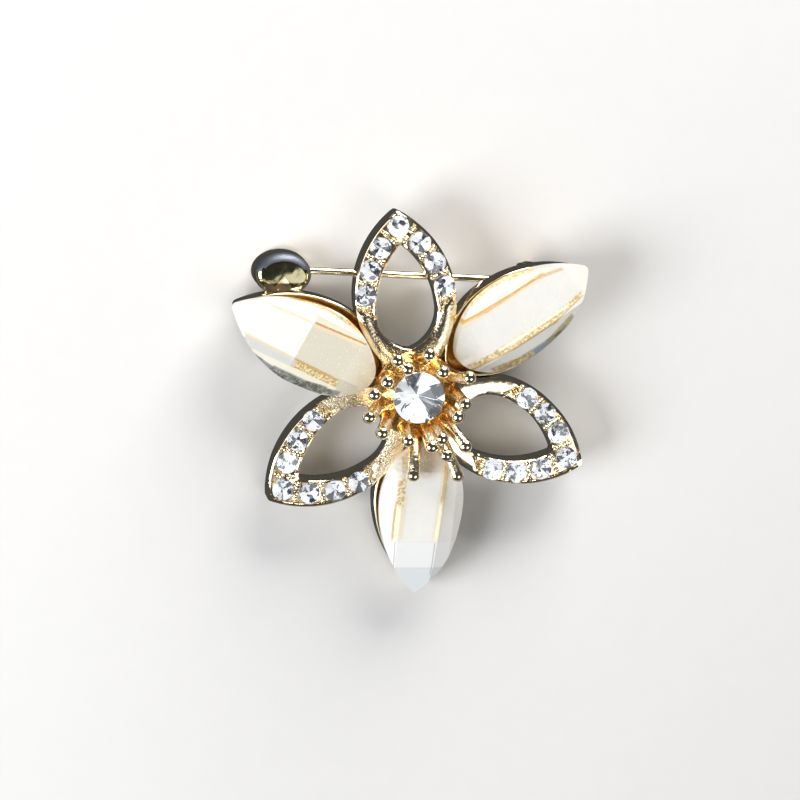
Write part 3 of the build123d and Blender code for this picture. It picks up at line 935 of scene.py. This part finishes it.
class BROOCH_OT_inlays(bpy.types.Operator):
    """Three faceted cream inlays that stand in the cups"""
    bl_idname = "brooch.inlays"
    bl_label = "Inlays"

    # Long facet lines. Columns: side, place across at the middle, slant, slope of the facet
    LINES = {
        "left": ((-1, 2.48, -0.043, 22.0), (1, 1.5, 0.046, 18.0), (1, 2.88, 0.07, 46.0)),
        "right": ((1, 2.66, -0.04, 22.0), (-1, 2.1, 0.03, 18.0), (-1, 3.3, 0.05, 44.0)),
        "bottom": ((-1, 2.49, 0.0, 22.0), (1, 1.81, -0.069, 20.0), (1, 3.2, -0.03, 44.0)),
    }
    # The outer bevel on a side with one line only: slope, place across
    OUTER_SLOPE, OUTER_AT = 46, 3.35
    # Facets along the stone, outwards and inwards: distance from the middle, slope
    ENDS = {
        "left": (((0.3, 3.0), (5.8, 30.0)),
                 ((0.0, 1.5), (5.0, 6.0), (6.0, 11.0), (6.8, 17.0), (7.4, 24.0))),
        "right": (((0.0, 1.5), (3.5, 4.0), (6.0, 28.0)),
                  ((0.0, 1.5), (3.5, 3.5), (5.4, 7.0), (6.2, 12.0), (6.9, 18.0), (7.5, 25.0))),
        "bottom": (((0.0, 0.3), (2.3, 7.0), (5.1, 22.0)), ((0.0, 0.3), (2.6, 6.0), (5.0, 22.0))),
    }
    GOLD = (0.64, 0.42, 0.16)
    BROWN = (0.42, 0.24, 0.08)
    TAN = (0.84, 0.70, 0.44)
    CREAM = (0.88, 0.84, 0.70)
    WHITE = (0.95, 0.96, 0.95)
    PAINTED_BLUE_HIGHLIGHT = (0.88, 0.93, 0.94)
    SLATE = (0.34, 0.34, 0.31)
    # Thin painted highlight lines along facet edges and rims
    PAINTED_GLINT = (1.0, 0.93, 0.68)
    # Columns: tint, from, across there, to, across there, half width, raggedness, strength
    STREAKS = {
        "left": (
            # Whole-inlay tone set against how much light this inlay gets: painted shade
            ((0.65, 0.645, 0.61), -2.0, 0.0, 25.0, 0.0, 9.0, 0.0, 0.75),
            ((0.66, 0.61, 0.48), 3.0, -0.4, 13.2, -0.4, 6.0, 0.02, 0.8),
            ((0.58, 0.50, 0.35), 3.0, -0.4, 8.2, -0.4, 6.0, 0.6, 0.5),
            # Painted highlight: the outer facets white, as if they mirror a lamp
            ((0.82, 0.82, 0.79), 13.2, -0.35, 18.78, -0.35, 2.6, 0.0, 1.0),
            (CREAM, 13.2, -3.2, 18.78, -2.6, 0.9, 0.0, 0.35),
            (TAN, 13.3, -2.5, 18.0, -1.95, 0.16, 0.1, 0.6),
            (TAN, 7.6, -2.75, 13.3, -2.3, 0.3, 0.15, 0.7),
            (BROWN, 7.2, -2.98, 13.3, -2.52, 0.13, 0.12, 0.9),
            (TAN, 13.2, 1.75, 19.6, 1.75, 0.2, 0.2, 0.6),
            ("glitter", 7.6, 2.05, 13.25, 2.2, 0.75, 0.25, 0.95),
            (GOLD, 8.6, 1.57, 13.3, 1.63, 0.15, 0.12, 0.95),
            (CREAM, 7.8, 2.6, 17.4, 3.1, 0.4, 0.05, 0.9),
            ("smoke", 14.0, 3.97, 17.4, 3.4, 0.48, 0.06, 0.95),
            ("smoke", 11.2, 3.85, 14.6, 3.97, 0.8, 0.06, 0.95),
            ("smoke", 8.6, 3.2, 11.8, 3.93, 0.72, 0.06, 0.95),
            ("smoke", 7.2, 2.85, 9.2, 3.32, 0.5, 0.06, 0.95),
            # Painted reflection of the gold cup on the inlay's edge
            ("amber", 5.6, -3.95, 12.3, -4.76, 0.9, 0.1, 0.95),
            ("amber", 11.8, -4.76, 18.4, -3.8, 0.9, 0.1, 0.95),
            (PAINTED_GLINT, 9.5, -4.25, 13.0, -4.35, 0.14, 0.2, 0.9)),
        "right": (
            # Whole-inlay tone set against how much light this inlay gets: painted shade
            ((0.74, 0.735, 0.70), -2.0, 0.0, 25.0, 0.0, 9.0, 0.0, 0.65),
            ((0.60, 0.595, 0.57), 3.0, 4.2, 21.0, 3.6, 1.6, 0.0, 0.7),
            (TAN, 5.0, 3.4, 10.4, 2.8, 0.5, 0.15, 0.45),
            (TAN, 9.4, 2.8, 18.0, 2.4, 0.4, 0.15, 0.45),
            (GOLD, 5.0, 3.4, 10.4, 2.8, 0.2, 0.15, 0.9),
            (GOLD, 9.4, 2.83, 17.0, 2.6, 0.17, 0.15, 0.9),
            (BROWN, 5.0, 3.35, 17.0, 2.52, 0.09, 0.15, 0.6),
            (GOLD, 15.8, 2.66, 18.9, 1.75, 0.2, 0.12, 0.7),
            ("glitter", 4.6, -1.15, 11.2, -1.7, 0.45, 0.5, 0.9),
            ("glitter", 9.6, -1.6, 16.4, -1.9, 0.5, 0.6, 0.9),
            ("glitter", 14.8, -1.85, 19.4, -1.45, 0.34, 0.2, 0.8),
            (PAINTED_GLINT, 8.5, -1.35, 17.5, -1.65, 0.16, 0.2, 1.0),
            (GOLD, 5.0, -1.4, 10.8, -2.13, 0.11, 0.1, 0.9),
            (GOLD, 9.9, -2.08, 15.6, -2.32, 0.13, 0.1, 0.9),
            (GOLD, 14.6, -2.33, 18.9, -1.72, 0.11, 0.1, 0.85),
            ("amber", 6.9, -2.75, 10.4, -3.75, 0.55, 0.15, 0.75),
            ("glitter", 9.0, -3.4, 12.0, -4.15, 0.7, 0.15, 0.95),
            ((0.30, 0.37, 0.46), 11.7, -4.0, 13.5, -4.0, 0.6, 0.05, 0.85),
            ((0.42, 0.36, 0.18), 13.2, -3.95, 17.2, -3.0, 0.6, 0.1, 0.9),
            ("smoke", 14.2, -3.75, 16.0, -3.3, 0.25, 0.1, 0.6),
            # Painted reflection of the gold cup rim on the inlay's edge
            ("glitter", 7.0, 3.9, 11.9, 4.55, 0.4, 0.15, 0.9),
            ("glitter", 11.2, 4.55, 16.8, 3.5, 0.35, 0.15, 0.85)),
        "bottom": (
            # Whole-inlay tone set against how much light this inlay gets: painted light
            ((0.90, 0.885, 0.84), -2.0, 0.0, 15.2, 0.0, 9.0, 0.0, 0.6),
            # Painted highlight: the tip lighter, white and then bluish
            (WHITE, 15.2, 0.0, 18.1, 0.0, 6.0, 0.0, 1.0),
            (PAINTED_BLUE_HIGHLIGHT, 18.1, 0.0, 22.0, 0.0, 6.0, 0.0, 1.0),
            (WHITE, 7.6, -3.7, 10.1, -3.7, 0.9, 0.1, 0.7),
            (WHITE, 7.8, 0.6, 10.3, 0.9, 1.3, 0.5, 0.5),
            ("glitter", 3.5, -0.8, 9.4, -1.2, 2.3, 0.8, 0.45),
            (TAN, 10.0, -2.3, 15.2, -2.5, 0.7, 0.2, 0.5),
            ("glitter", 8.0, -2.3, 12.0, -2.55, 0.5, 0.3, 0.85),
            (PAINTED_GLINT, 11.0, -2.55, 15.2, -2.7, 0.32, 0.35, 1.0),
            (GOLD, 11.0, -2.88, 15.4, -3.0, 0.13, 0.25, 0.9),
            (SLATE, 15.1, -2.68, 18.1, -2.58, 0.07, 0.05, 0.6),
            (TAN, 6.0, 2.1, 15.4, 1.4, 0.5, 0.3, 0.5),
            (GOLD, 6.0, 2.2, 12.2, 1.7, 0.22, 0.3, 0.8),
            (PAINTED_GLINT, 10.6, 1.76, 15.4, 1.42, 0.22, 0.3, 1.0),
            (SLATE, 15.2, 1.4, 19.0, 1.28, 0.07, 0.05, 0.6)),
    }

    def execute(self, context):
        for name in INLAY_SEATS:
            stone = self.cut_stone(self.LINES[name], self.ENDS[name])
            lay_uv(stone)
            stone.data.materials.append(
                inlay_material("inlay_" + name + "_cream", self.STREAKS[name]))
            finish_piece(stone, "cream_inlay_" + name, seated(name, INLAY_SEATS, INLAY),
                         ["inlay_" + name], angle=2)
        return {"FINISHED"}

    def cut_stone(self, lines, ends):
        """A pointed oval blank cut by one plane for each facet."""
        top, rim = 2.02, 0.12
        rows = ((None, -1.3), (1.65, -1.3), (1.1, 0.08), (1.0, rim), (0.02, rim),
                (0.0, rim + 0.05), (0.0, top + 0.2), (None, top + 0.2))
        stone = leaf_shell(INLAY, rows, 128)
        for face in stone.data.polygons:
            face.material_index = 0
        # Each long line adds its own slope to the band inside it: z = top - end fall - side fall
        bands = [(0.0, 0.0, 0.0)]
        for side in (1, -1):
            fall, lean, start, before = 0.0, 0.0, 0.0, 0.0
            for line_side, across, slant, slope in lines:
                if line_side != side:
                    continue
                growth = tan(radians(slope)) - before
                before = tan(radians(slope))
                fall += side * growth
                lean -= growth * slant
                start -= growth * across
                bands.append((fall, lean, start))
            if before < tan(radians(44)) - 0.01:
                growth = tan(radians(self.OUTER_SLOPE)) - before
                bands.append((fall + side * growth, lean, start - growth * self.OUTER_AT))
        for way, facets in zip((1, -1), ends):
            drop = 0.0
            for number, (along, slope) in enumerate(facets):
                if number:
                    drop += (along - facets[number - 1][0]) * tan(radians(facets[number - 1][1]))
                end_fall = tan(radians(slope))
                for fall, lean, start in bands:
                    # Plane through the point above the row's start on the axis
                    height = top - drop - (start + lean * way * along)
                    normal = Vector((way * end_fall + lean, fall, 1)).normalized()
                    with shaping(stone):
                        bpy.ops.mesh.bisect(plane_co=(MIDDLE_OF_INLAY + way * along, 0, height),
                                            plane_no=normal, use_fill=True, clear_outer=True,
                                            threshold=0.0005)
        close_mesh(stone, 0.004)
        modify(stone, "BEVEL", width=0.05, segments=2, limit_method="ANGLE",
               angle_limit=radians(2.5))
        return stone


class BROOCH_OT_hub(bpy.types.Operator):
    """The hub with its stamens fused on, and the seat of the centre stone"""
    bl_idname = "brooch.hub"
    bl_label = "Hub and stamens"

    # How far the balls' polish reaches, as a share of their radius
    POLISHED_SHARE = 1.03

    def execute(self, context):
        sizes = context.scene.brooch_sizes
        depth = sizes.petal_depth / MM
        hub = turned(((0.05, -depth), (4.15, -depth), (4.3, 0.15 - depth), (4.3, -0.12),
                      (4.15, 0.0), (2.35, 0.9), (1.95, 0.9), (0.05, -0.95)), 96)
        rods = [self.stamen(sizes, *row) for row in STAMENS]
        hub = join([hub] + rods)
        modify(hub, "REMESH", mode="VOXEL", voxel_size=sizes.fused_grain / MM)
        modify(hub, "SMOOTH", factor=0.5, iterations=2)
        hub.data.materials.clear()
        dress(hub, "hub_gold", "ball_gold")
        self.polish_balls(hub, self.POLISHED_SHARE * sizes.ball_radius / MM)
        finish_piece(hub, "hub_with_stamens", Matrix.Identity(4), ["flower_casting"], angle=80)
        seat = turned(((1.8, 0.3), (2.15, 0.1), (2.38, 0.75), (2.50, 1.14), (2.50, 1.21),
                       (2.45, 1.25), (2.36, 1.24), (2.27, 1.16), (1.85, 0.75)), 96, closed=True)
        dress(seat, "seat_gold")
        finish_piece(seat, "centre_seat", Matrix.Identity(4), ["flower_casting"])
        return {"FINISHED"}

    def polish_balls(self, hub, radius):
        """Gives the faces near a stamen's end the polished metal."""
        mesh = hub.data
        centres = numpy.empty(len(mesh.polygons) * 3)
        mesh.polygons.foreach_get("center", centres)
        centres = centres.reshape(-1, 3)
        near = numpy.zeros(len(centres), dtype=int)
        for _, _, azimuth, out, height, _ in STAMENS:
            apart = numpy.linalg.norm(centres - polar(azimuth, out, height), axis=1)
            near |= (apart < radius).astype(int)
        mesh.polygons.foreach_set("material_index", near)

    def stamen(self, sizes, root_azimuth, root_radius, ball_azimuth, out, height, thickness):
        """A rod on a curve that leaves the hub steeply and bends out to its ball."""
        root = Vector(polar(root_azimuth, root_radius, STAMEN_ROOT_AT))
        tip = Vector(polar(ball_azimuth, out, height))
        chord = tip - root
        level = Vector((chord.x, chord.y, 0))
        steepest, lead = radians(80), radians(30)
        rise = min(steepest, atan2(chord.z, level.length) + lead)
        start = level.normalized() * cos(rise) + Vector((0, 0, sin(rise)))
        bend = start.angle(chord)
        radius = chord.length / (2 * sin(bend))
        reach = 4 / 3 * tan(bend / 2) * radius
        end = 2 * start.dot(chord.normalized()) * chord.normalized() - start
        rod = added(bpy.ops.curve.primitive_bezier_curve_add)
        rod.data.bevel_depth = thickness * sizes.stamen_radius / MM
        rod.data.bevel_resolution = 5
        rod.data.use_fill_caps = True
        first, last = rod.data.splines[0].bezier_points
        for point, at, way in ((first, root, start), (last, tip, end)):
            point.handle_left_type = point.handle_right_type = "FREE"
            point.co = at
            point.handle_left = at - way * reach
            point.handle_right = at + way * reach
        bpy.ops.object.convert(target="MESH")
        ball = added(bpy.ops.mesh.primitive_ico_sphere_add, subdivisions=4,
                     radius=sizes.ball_radius / MM, location=tip)
        return join([rod, ball])


class BROOCH_OT_stones(bpy.types.Operator):
    """The centre stone and the small stones: clear facets over a foiled back"""
    bl_idname = "brooch.stones"
    bl_label = "Stones"

    # Foils of a stone's back facets, in the order of the turn round its axis: light and dark foils
    # are painted reflections
    CENTRE_TONES = (1, 4, 1, 1, 2, 1, 3, 4, 4, 1, 3, 1, 1, 2, 1, 1, 1, 3, 1, 2, 1, 4, 4, 1)
    SMALL_TONES = (1, 1, 4, 1, 3, 1, 2, 4, 1, 1, 3, 4, 1, 2, 1, 4, 1, 3, 2)
    # How wide the softened edges are, and below which slant a face belongs to the foiled back
    CENTRE_EDGE, SMALL_EDGE = 0.00003, 0.000012
    BACK_BELOW = -0.15

    def execute(self, context):
        turn = flower_place().to_3x3().normalized()
        self.cut("centre_stone", turn, 1.0, self.CENTRE_EDGE, stone_materials("large"),
                 self.CENTRE_TONES)
        materials = stone_materials("small")
        growth = context.scene.brooch_sizes.small_stone_growth
        tones = self.SMALL_TONES
        for petal, place in RING_PETALS.items():
            petal_turn = turn @ petal_place(*place).to_3x3()
            for number in range(1, 2 + 2 * STONES_A_SIDE):
                first = (number * 5 + len(petal)) % len(tones)
                own = tones[first:] + tones[:first]
                self.cut(f"stone_{petal}_{number}", petal_turn, growth, self.SMALL_EDGE,
                         materials, own)
        return {"FINISHED"}

    def cut(self, node, turn, growth, edge, materials, tones):
        """A merged copy of a stone's solid with softened edges and a foiled back."""
        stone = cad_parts[node].copy()
        stone.data = stone.data.copy()
        bpy.context.scene.collection.objects.link(stone)
        stone.parent = None
        stone.matrix_world = Matrix.Identity(4)
        stone.hide_render = False
        stone.name = stone.data.name = "cut_" + node
        stone.data.materials.clear()
        with shaping(stone):
            bpy.ops.mesh.remove_doubles(threshold=0.000001)
            bpy.ops.mesh.dissolve_limited(angle_limit=radians(0.5))
            bpy.ops.mesh.select_all(action="SELECT")
            bpy.ops.mesh.normals_make_consistent(inside=False)
        modify(stone, "BEVEL", width=edge, segments=1, limit_method="ANGLE",
               angle_limit=radians(3))
        low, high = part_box(node)
        middle = Matrix.Translation((Vector(low) + Vector(high)) / 2)
        bake_place(stone, middle @ Matrix.Scale(growth, 4) @ middle.inverted())
        for material in materials:
            stone.data.materials.append(material)
        own = turn.transposed()
        for face in stone.data.polygons:
            normal = own @ face.normal
            face.material_index = 0
            if normal.z < self.BACK_BELOW:
                share = (atan2(normal.y, normal.x) / (2 * pi)) % 1.0
                facet = int(share * len(self.CENTRE_TONES) + 0.5)
                face.material_index = tones[facet % len(tones)]
        hold(stone)
        bpy.ops.object.shade_smooth_by_angle(angle=radians(2))
        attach(stone, "root")
        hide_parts(node)


class BROOCH_OT_pin_work(bpy.types.Operator):
    """The catch hood, the hinge ears, the rivet, and the pin wire on its knuckle"""
    bl_idname = "brooch.pin_work"
    bl_label = "Pin work"

    def execute(self, context):
        radius = context.scene.brooch_sizes.wire_radius / MM
        for name, piece, place, node, body in (
                ("catch_hood", self.catch(radius), wire_place(CATCH_AT), "flower_casting", "root"),
                ("hinge_ears", self.ears(), wire_place(HINGE_AT), "flower_casting", "root"),
                ("hinge_rivet_headed", self.rivet(), wire_place(HINGE_AT, WIRE_HEIGHT),
                 "hinge_rivet", "root"),
                ("pin_wire", self.pin(radius), wire_place(HINGE_AT, WIRE_HEIGHT),
                 "pin_stem", "pin")):
            piece.data.materials.clear()
            dress(piece, "pin_gold")
            if name == "catch_hood":
                self.finish_hood(piece)
            finish_piece(piece, name, place, [node], body)
        return {"FINISHED"}

    def finish_hood(self, hood):
        """A matt crescent on the hood's far side and a darker mirror on the rest of its dome: both
        are dark tints, painted reflections of dark surroundings.
        """
        dress(hood, "hood_steel", "hood_mirror")
        for face in hood.data.polygons:
            x, y, z = face.center
            # The dome is what lies above the rolled foot and beside or beyond the neck
            dome = (y > -1.1 or abs(x) > 1.9) and z > -4.3
            crescent = y > 1.1 - 0.17 * x * x and z > -4.6
            face.material_index = 1 if crescent else 2 if dome else 0

    def catch(self, radius):
        """A hollow oval dome with a rolled edge, a notch for the wire, and a neck."""
        half_width, half_length, wall, roll = 2.9, 2.2, 0.5, 0.95
        high, low, set_off = -3.3, FOOT_HEIGHT, -0.35
        rows = [(None, high)]
        rows += [(roll - roll * sin(turn), high - roll + roll * cos(turn))
                 for turn in (radians(15 * step) for step in range(7))]
        rows += [(0.0, low + 0.08), (0.08, low), (wall - 0.08, low), (wall, low + 0.08),
                 (wall, high - roll)]
        inner = roll - wall
        rows += [(wall + inner - inner * cos(turn), high - roll + inner * sin(turn))
                 for turn in (radians(30 * step) for step in range(1, 4))]
        rows.append((None, high - wall))
        count = 96

        def spot(i, j):
            inset, height = rows[j]
            turn = i * 2 * pi / count
            if inset is None:
                return 0, set_off, height
            return ((half_width - inset) * cos(turn),
                    (half_length - inset) * sin(turn) + set_off, height)

        hood = rolled_sheet(count, len(rows) - 1, spot)
        combine(hood, self.neck(high, wall), "UNION")
        half_notch, run, drop = radius + 0.25, 6, 3
        slot = bake_place(peg(half_notch, 0, run, 32), Matrix.Translation((0, 0, WIRE_HEIGHT))
                          @ Matrix.Rotation(pi / 2, 4, "Y"))
        gap = block((run / 2, 0, WIRE_HEIGHT - drop / 2), (run, 2 * half_notch, drop))
        combine(hood, slot, "DIFFERENCE")
        combine(hood, gap, "DIFFERENCE")
        return hood

    def neck(self, high, wall):
        """A plate with concave flared sides, a little crowned, from the hood to the cup."""
        plate = added(bpy.ops.mesh.primitive_grid_add, x_subdivisions=12, y_subdivisions=14,
                      size=2)
        near, far, narrow, flare, flare_power = -4.6, 0.2, 1.5, 1.1, 2.2
        sunk, crown, sag = 0.02, 0.22, 0.25
        for vertex in plate.data.vertices:
            across, along = vertex.co.x, (vertex.co.y + 1) / 2
            half = narrow + flare * along ** flare_power
            vertex.co = (across * half, near + (far - near) * along,
                         high - sunk - crown * across ** 2 - sag * (1 - along) ** 2)
        modify(plate, "SOLIDIFY", thickness=wall, offset=-1)
        modify(plate, "BEVEL", width=0.1, segments=3, limit_method="ANGLE",
               angle_limit=radians(40))
        close_mesh(plate, 0.001)
        return plate

    def ears(self):
        """Two drilled ears with a rounded foot."""
        copies = []
        half, radius, edge, hole, foot = EAR_THICKNESS / 2, 1.2, 0.08, 0.44, 1.65
        flat = radius - edge
        for side in (1, -1):
            middle = side * (KNUCKLE_HALF + HINGE_GAP + half)
            place = Matrix.Translation((0, middle, WIRE_HEIGHT)) @ Matrix.Rotation(pi / 2, 4, "X")
            disc = bake_place(turned(((0.02, -half), (flat, -half), (radius, edge - half),
                                      (radius, half - edge), (flat, half), (0.02, half)), 64),
                              place)
            plate = block((0, middle, WIRE_HEIGHT + foot / 2), (2.36, 0.57, foot))
            modify(plate, "BEVEL", width=0.06, segments=2)
            combine(disc, plate, "UNION")
            combine(disc, bake_place(peg(hole, -1, 1, 48), place), "DIFFERENCE")
            copies.append(disc)
        return join(copies)

    def rivet(self):
        """A rivet with a domed head at each end."""
        half = KNUCKLE_HALF + HINGE_GAP + EAR_THICKNESS + 0.03
        head = ((0.02, 0.28), (0.3, 0.27), (0.55, 0.22), (0.7, 0.12), (0.75, 0.02), (0.72, 0),
                (0.42, 0))
        profile = [(radius, half + height) for radius, height in head]
        profile += [(radius, -height) for radius, height in reversed(profile)]
        return bake_place(turned(profile, 48), Matrix.Rotation(pi / 2, 4, "X"))

    def pin(self, radius):
        """The wire with its drawn-out point, fused to its drilled knuckle."""
        run = hypot(HINGE_AT[0] - CATCH_AT[0], HINGE_AT[1] - CATCH_AT[1])
        straight = run + PAST_CATCH - POINT_LENGTH
        wire = turned(((0.02, 0.6), (radius, 0.6), (radius, straight),
                       (radius * 0.97, straight + 0.6), (0.1, straight + 4.2),
                       (0.06, straight + 4.45), (0.02, straight + POINT_LENGTH)), 40)
        bake_place(wire, Matrix.Rotation(-pi / 2, 4, "Y"))
        hole, flat, full, half, short = 0.47, 0.78, 0.85, KNUCKLE_HALF, 0.88
        knuckle = turned(((hole, -half), (flat, -half), (full, -short), (full, short),
                          (flat, half), (hole, half)), 64, closed=True)
        bake_place(knuckle, Matrix.Rotation(pi / 2, 4, "X"))
        combine(knuckle, wire, "UNION")
        return knuckle


class BROOCH_OT_stage(bpy.types.Operator):
    """The floor, the lights and the camera"""
    bl_idname = "brooch.stage"
    bl_label = "Stage"

    # The picture's right and up, in the flower's frame, and the point at its middle
    PICTURE_RIGHT = (0.982, 0.0, 0.19)
    PICTURE_UP = (0.045, 0.972, -0.232)
    PICTURE_MIDDLE = (-1.570, -0.612, -0.152)
    FIELD, SENSOR = 0.08, 36.0
    # Lights. Columns: name, direction in the picture (right, up, towards the camera), distance,
    # size, colour
    LAMPS = (("key", (0.36, 0.86, 0.36), 0.40, 0.28, (1.0, 0.98, 0.95)),
             ("fill", (-0.71, -0.31, 0.64), 0.40, 0.22, (0.95, 0.97, 1.0)),
             ("side", (0.56, -0.50, 0.66), 0.50, 0.26, (1.0, 0.99, 0.97)))

    def execute(self, context):
        scene = context.scene
        light, finish = scene.brooch_light, scene.brooch_finish
        floor = added(bpy.ops.mesh.primitive_plane_add, size=3.0, location=(0, 0, 0))
        floor.name = "floor"
        desk, shader, paper = new_material("floor_paper", Roughness=0.75)
        mottle = desk.noise(desk.millimetres(), 0.4, 4.0)
        tint = desk.blend(mottle, shade(finish.floor), shade([0.97 * c for c in finish.floor]))
        desk.link(tint, shader["Base Color"])
        floor.data.materials.append(paper)
        floor.visible_glossy = False

        place = flower_place()
        turn = place.to_3x3().normalized()
        right = (turn @ Vector(self.PICTURE_RIGHT)).normalized()
        up = (turn @ Vector(self.PICTURE_UP)).normalized()
        back = right.cross(up)
        middle = place @ Vector(self.PICTURE_MIDDLE)
        frame_turn = Matrix((right, up, back)).transposed()
        camera_data = bpy.data.cameras.new("photo_camera")
        camera_data.sensor_width = self.SENSOR
        camera_data.lens = self.SENSOR * light.camera_distance / self.FIELD
        camera_data.clip_start = 0.01
        camera = bpy.data.objects.new("photo_camera", camera_data)
        camera.matrix_world = (Matrix.Translation(middle + back * light.camera_distance)
                               @ frame_turn.to_4x4())
        scene.collection.objects.link(camera)
        scene.camera = camera

        for name, way, distance, size, tone in self.LAMPS:
            data = bpy.data.lights.new(name + "_light", "AREA")
            data.size = size
            data.energy = getattr(light, name + "_power")
            data.color = tone
            lamp = bpy.data.objects.new(name + "_light", data)
            towards = (frame_turn @ Vector(way)).normalized()
            lamp.matrix_world = (Matrix.Translation(middle + towards * distance)
                                 @ towards.to_track_quat("Z", "Y").to_matrix().to_4x4())
            lamp.visible_camera = False
            scene.collection.objects.link(lamp)

        world = bpy.data.worlds.new("soft_room")
        world.use_nodes = True
        sky = world.node_tree.nodes["Background"].inputs
        sky["Color"].default_value = (0.95, 0.97, 1.0, 1)
        desk = NodeDesk(world.node_tree)
        way = desk.add("TexCoord").outputs["Generated"]
        height = desk.parts("XYZ", way)[2]
        # The metal mirrors a paler band just below the horizon, where the far floor lies
        band = desk.math("MULTIPLY", desk.step(height, 0.0, -0.05), desk.step(height, -0.75, -0.4))
        strength = desk.math("MULTIPLY_ADD", band, light.floor_band, light.sky)
        desk.link(strength, sky["Strength"])
        scene.world = world
        scene.view_settings.view_transform = "Standard"
        return {"FINISHED"}


class BROOCH_PT_panel(bpy.types.Panel):
    """Lists the brooch's steps and settings"""
    bl_idname = "BROOCH_PT_panel"
    bl_label = "Flower brooch"
    bl_space_type = "VIEW_3D"
    bl_region_type = "UI"
    bl_category = "Brooch"

    def draw(self, context):
        layout = self.layout
        for step in STEPS:
            layout.operator(step.bl_idname)
        for group in (context.scene.brooch_sizes, context.scene.brooch_finish,
                      context.scene.brooch_light):
            box = layout.box()
            for key in group.__annotations__:
                box.prop(group, key)


SETTINGS = {"brooch_sizes": BroochSizes, "brooch_finish": BroochFinish, "brooch_light": BroochLight}
STEPS = (BROOCH_OT_open_petals, BROOCH_OT_cups, BROOCH_OT_inlays, BROOCH_OT_hub,
         BROOCH_OT_stones, BROOCH_OT_pin_work, BROOCH_OT_stage)


def register():
    for kind in (*SETTINGS.values(), *STEPS, BROOCH_PT_panel):
        bpy.utils.register_class(kind)
    for key, kind in SETTINGS.items():
        setattr(bpy.types.Scene, key, bpy.props.PointerProperty(type=kind))


def unregister():
    for key in SETTINGS:
        delattr(bpy.types.Scene, key)
    for kind in reversed((*SETTINGS.values(), *STEPS, BROOCH_PT_panel)):
        bpy.utils.unregister_class(kind)


def main():
    register()
    for step in STEPS:
        group, name = step.bl_idname.split(".")
        result = getattr(getattr(bpy.ops, group), name)()
        if result != {"FINISHED"}:
            raise RuntimeError(step.bl_label + " didn't finish")


if __name__ == "__main__":
    main()
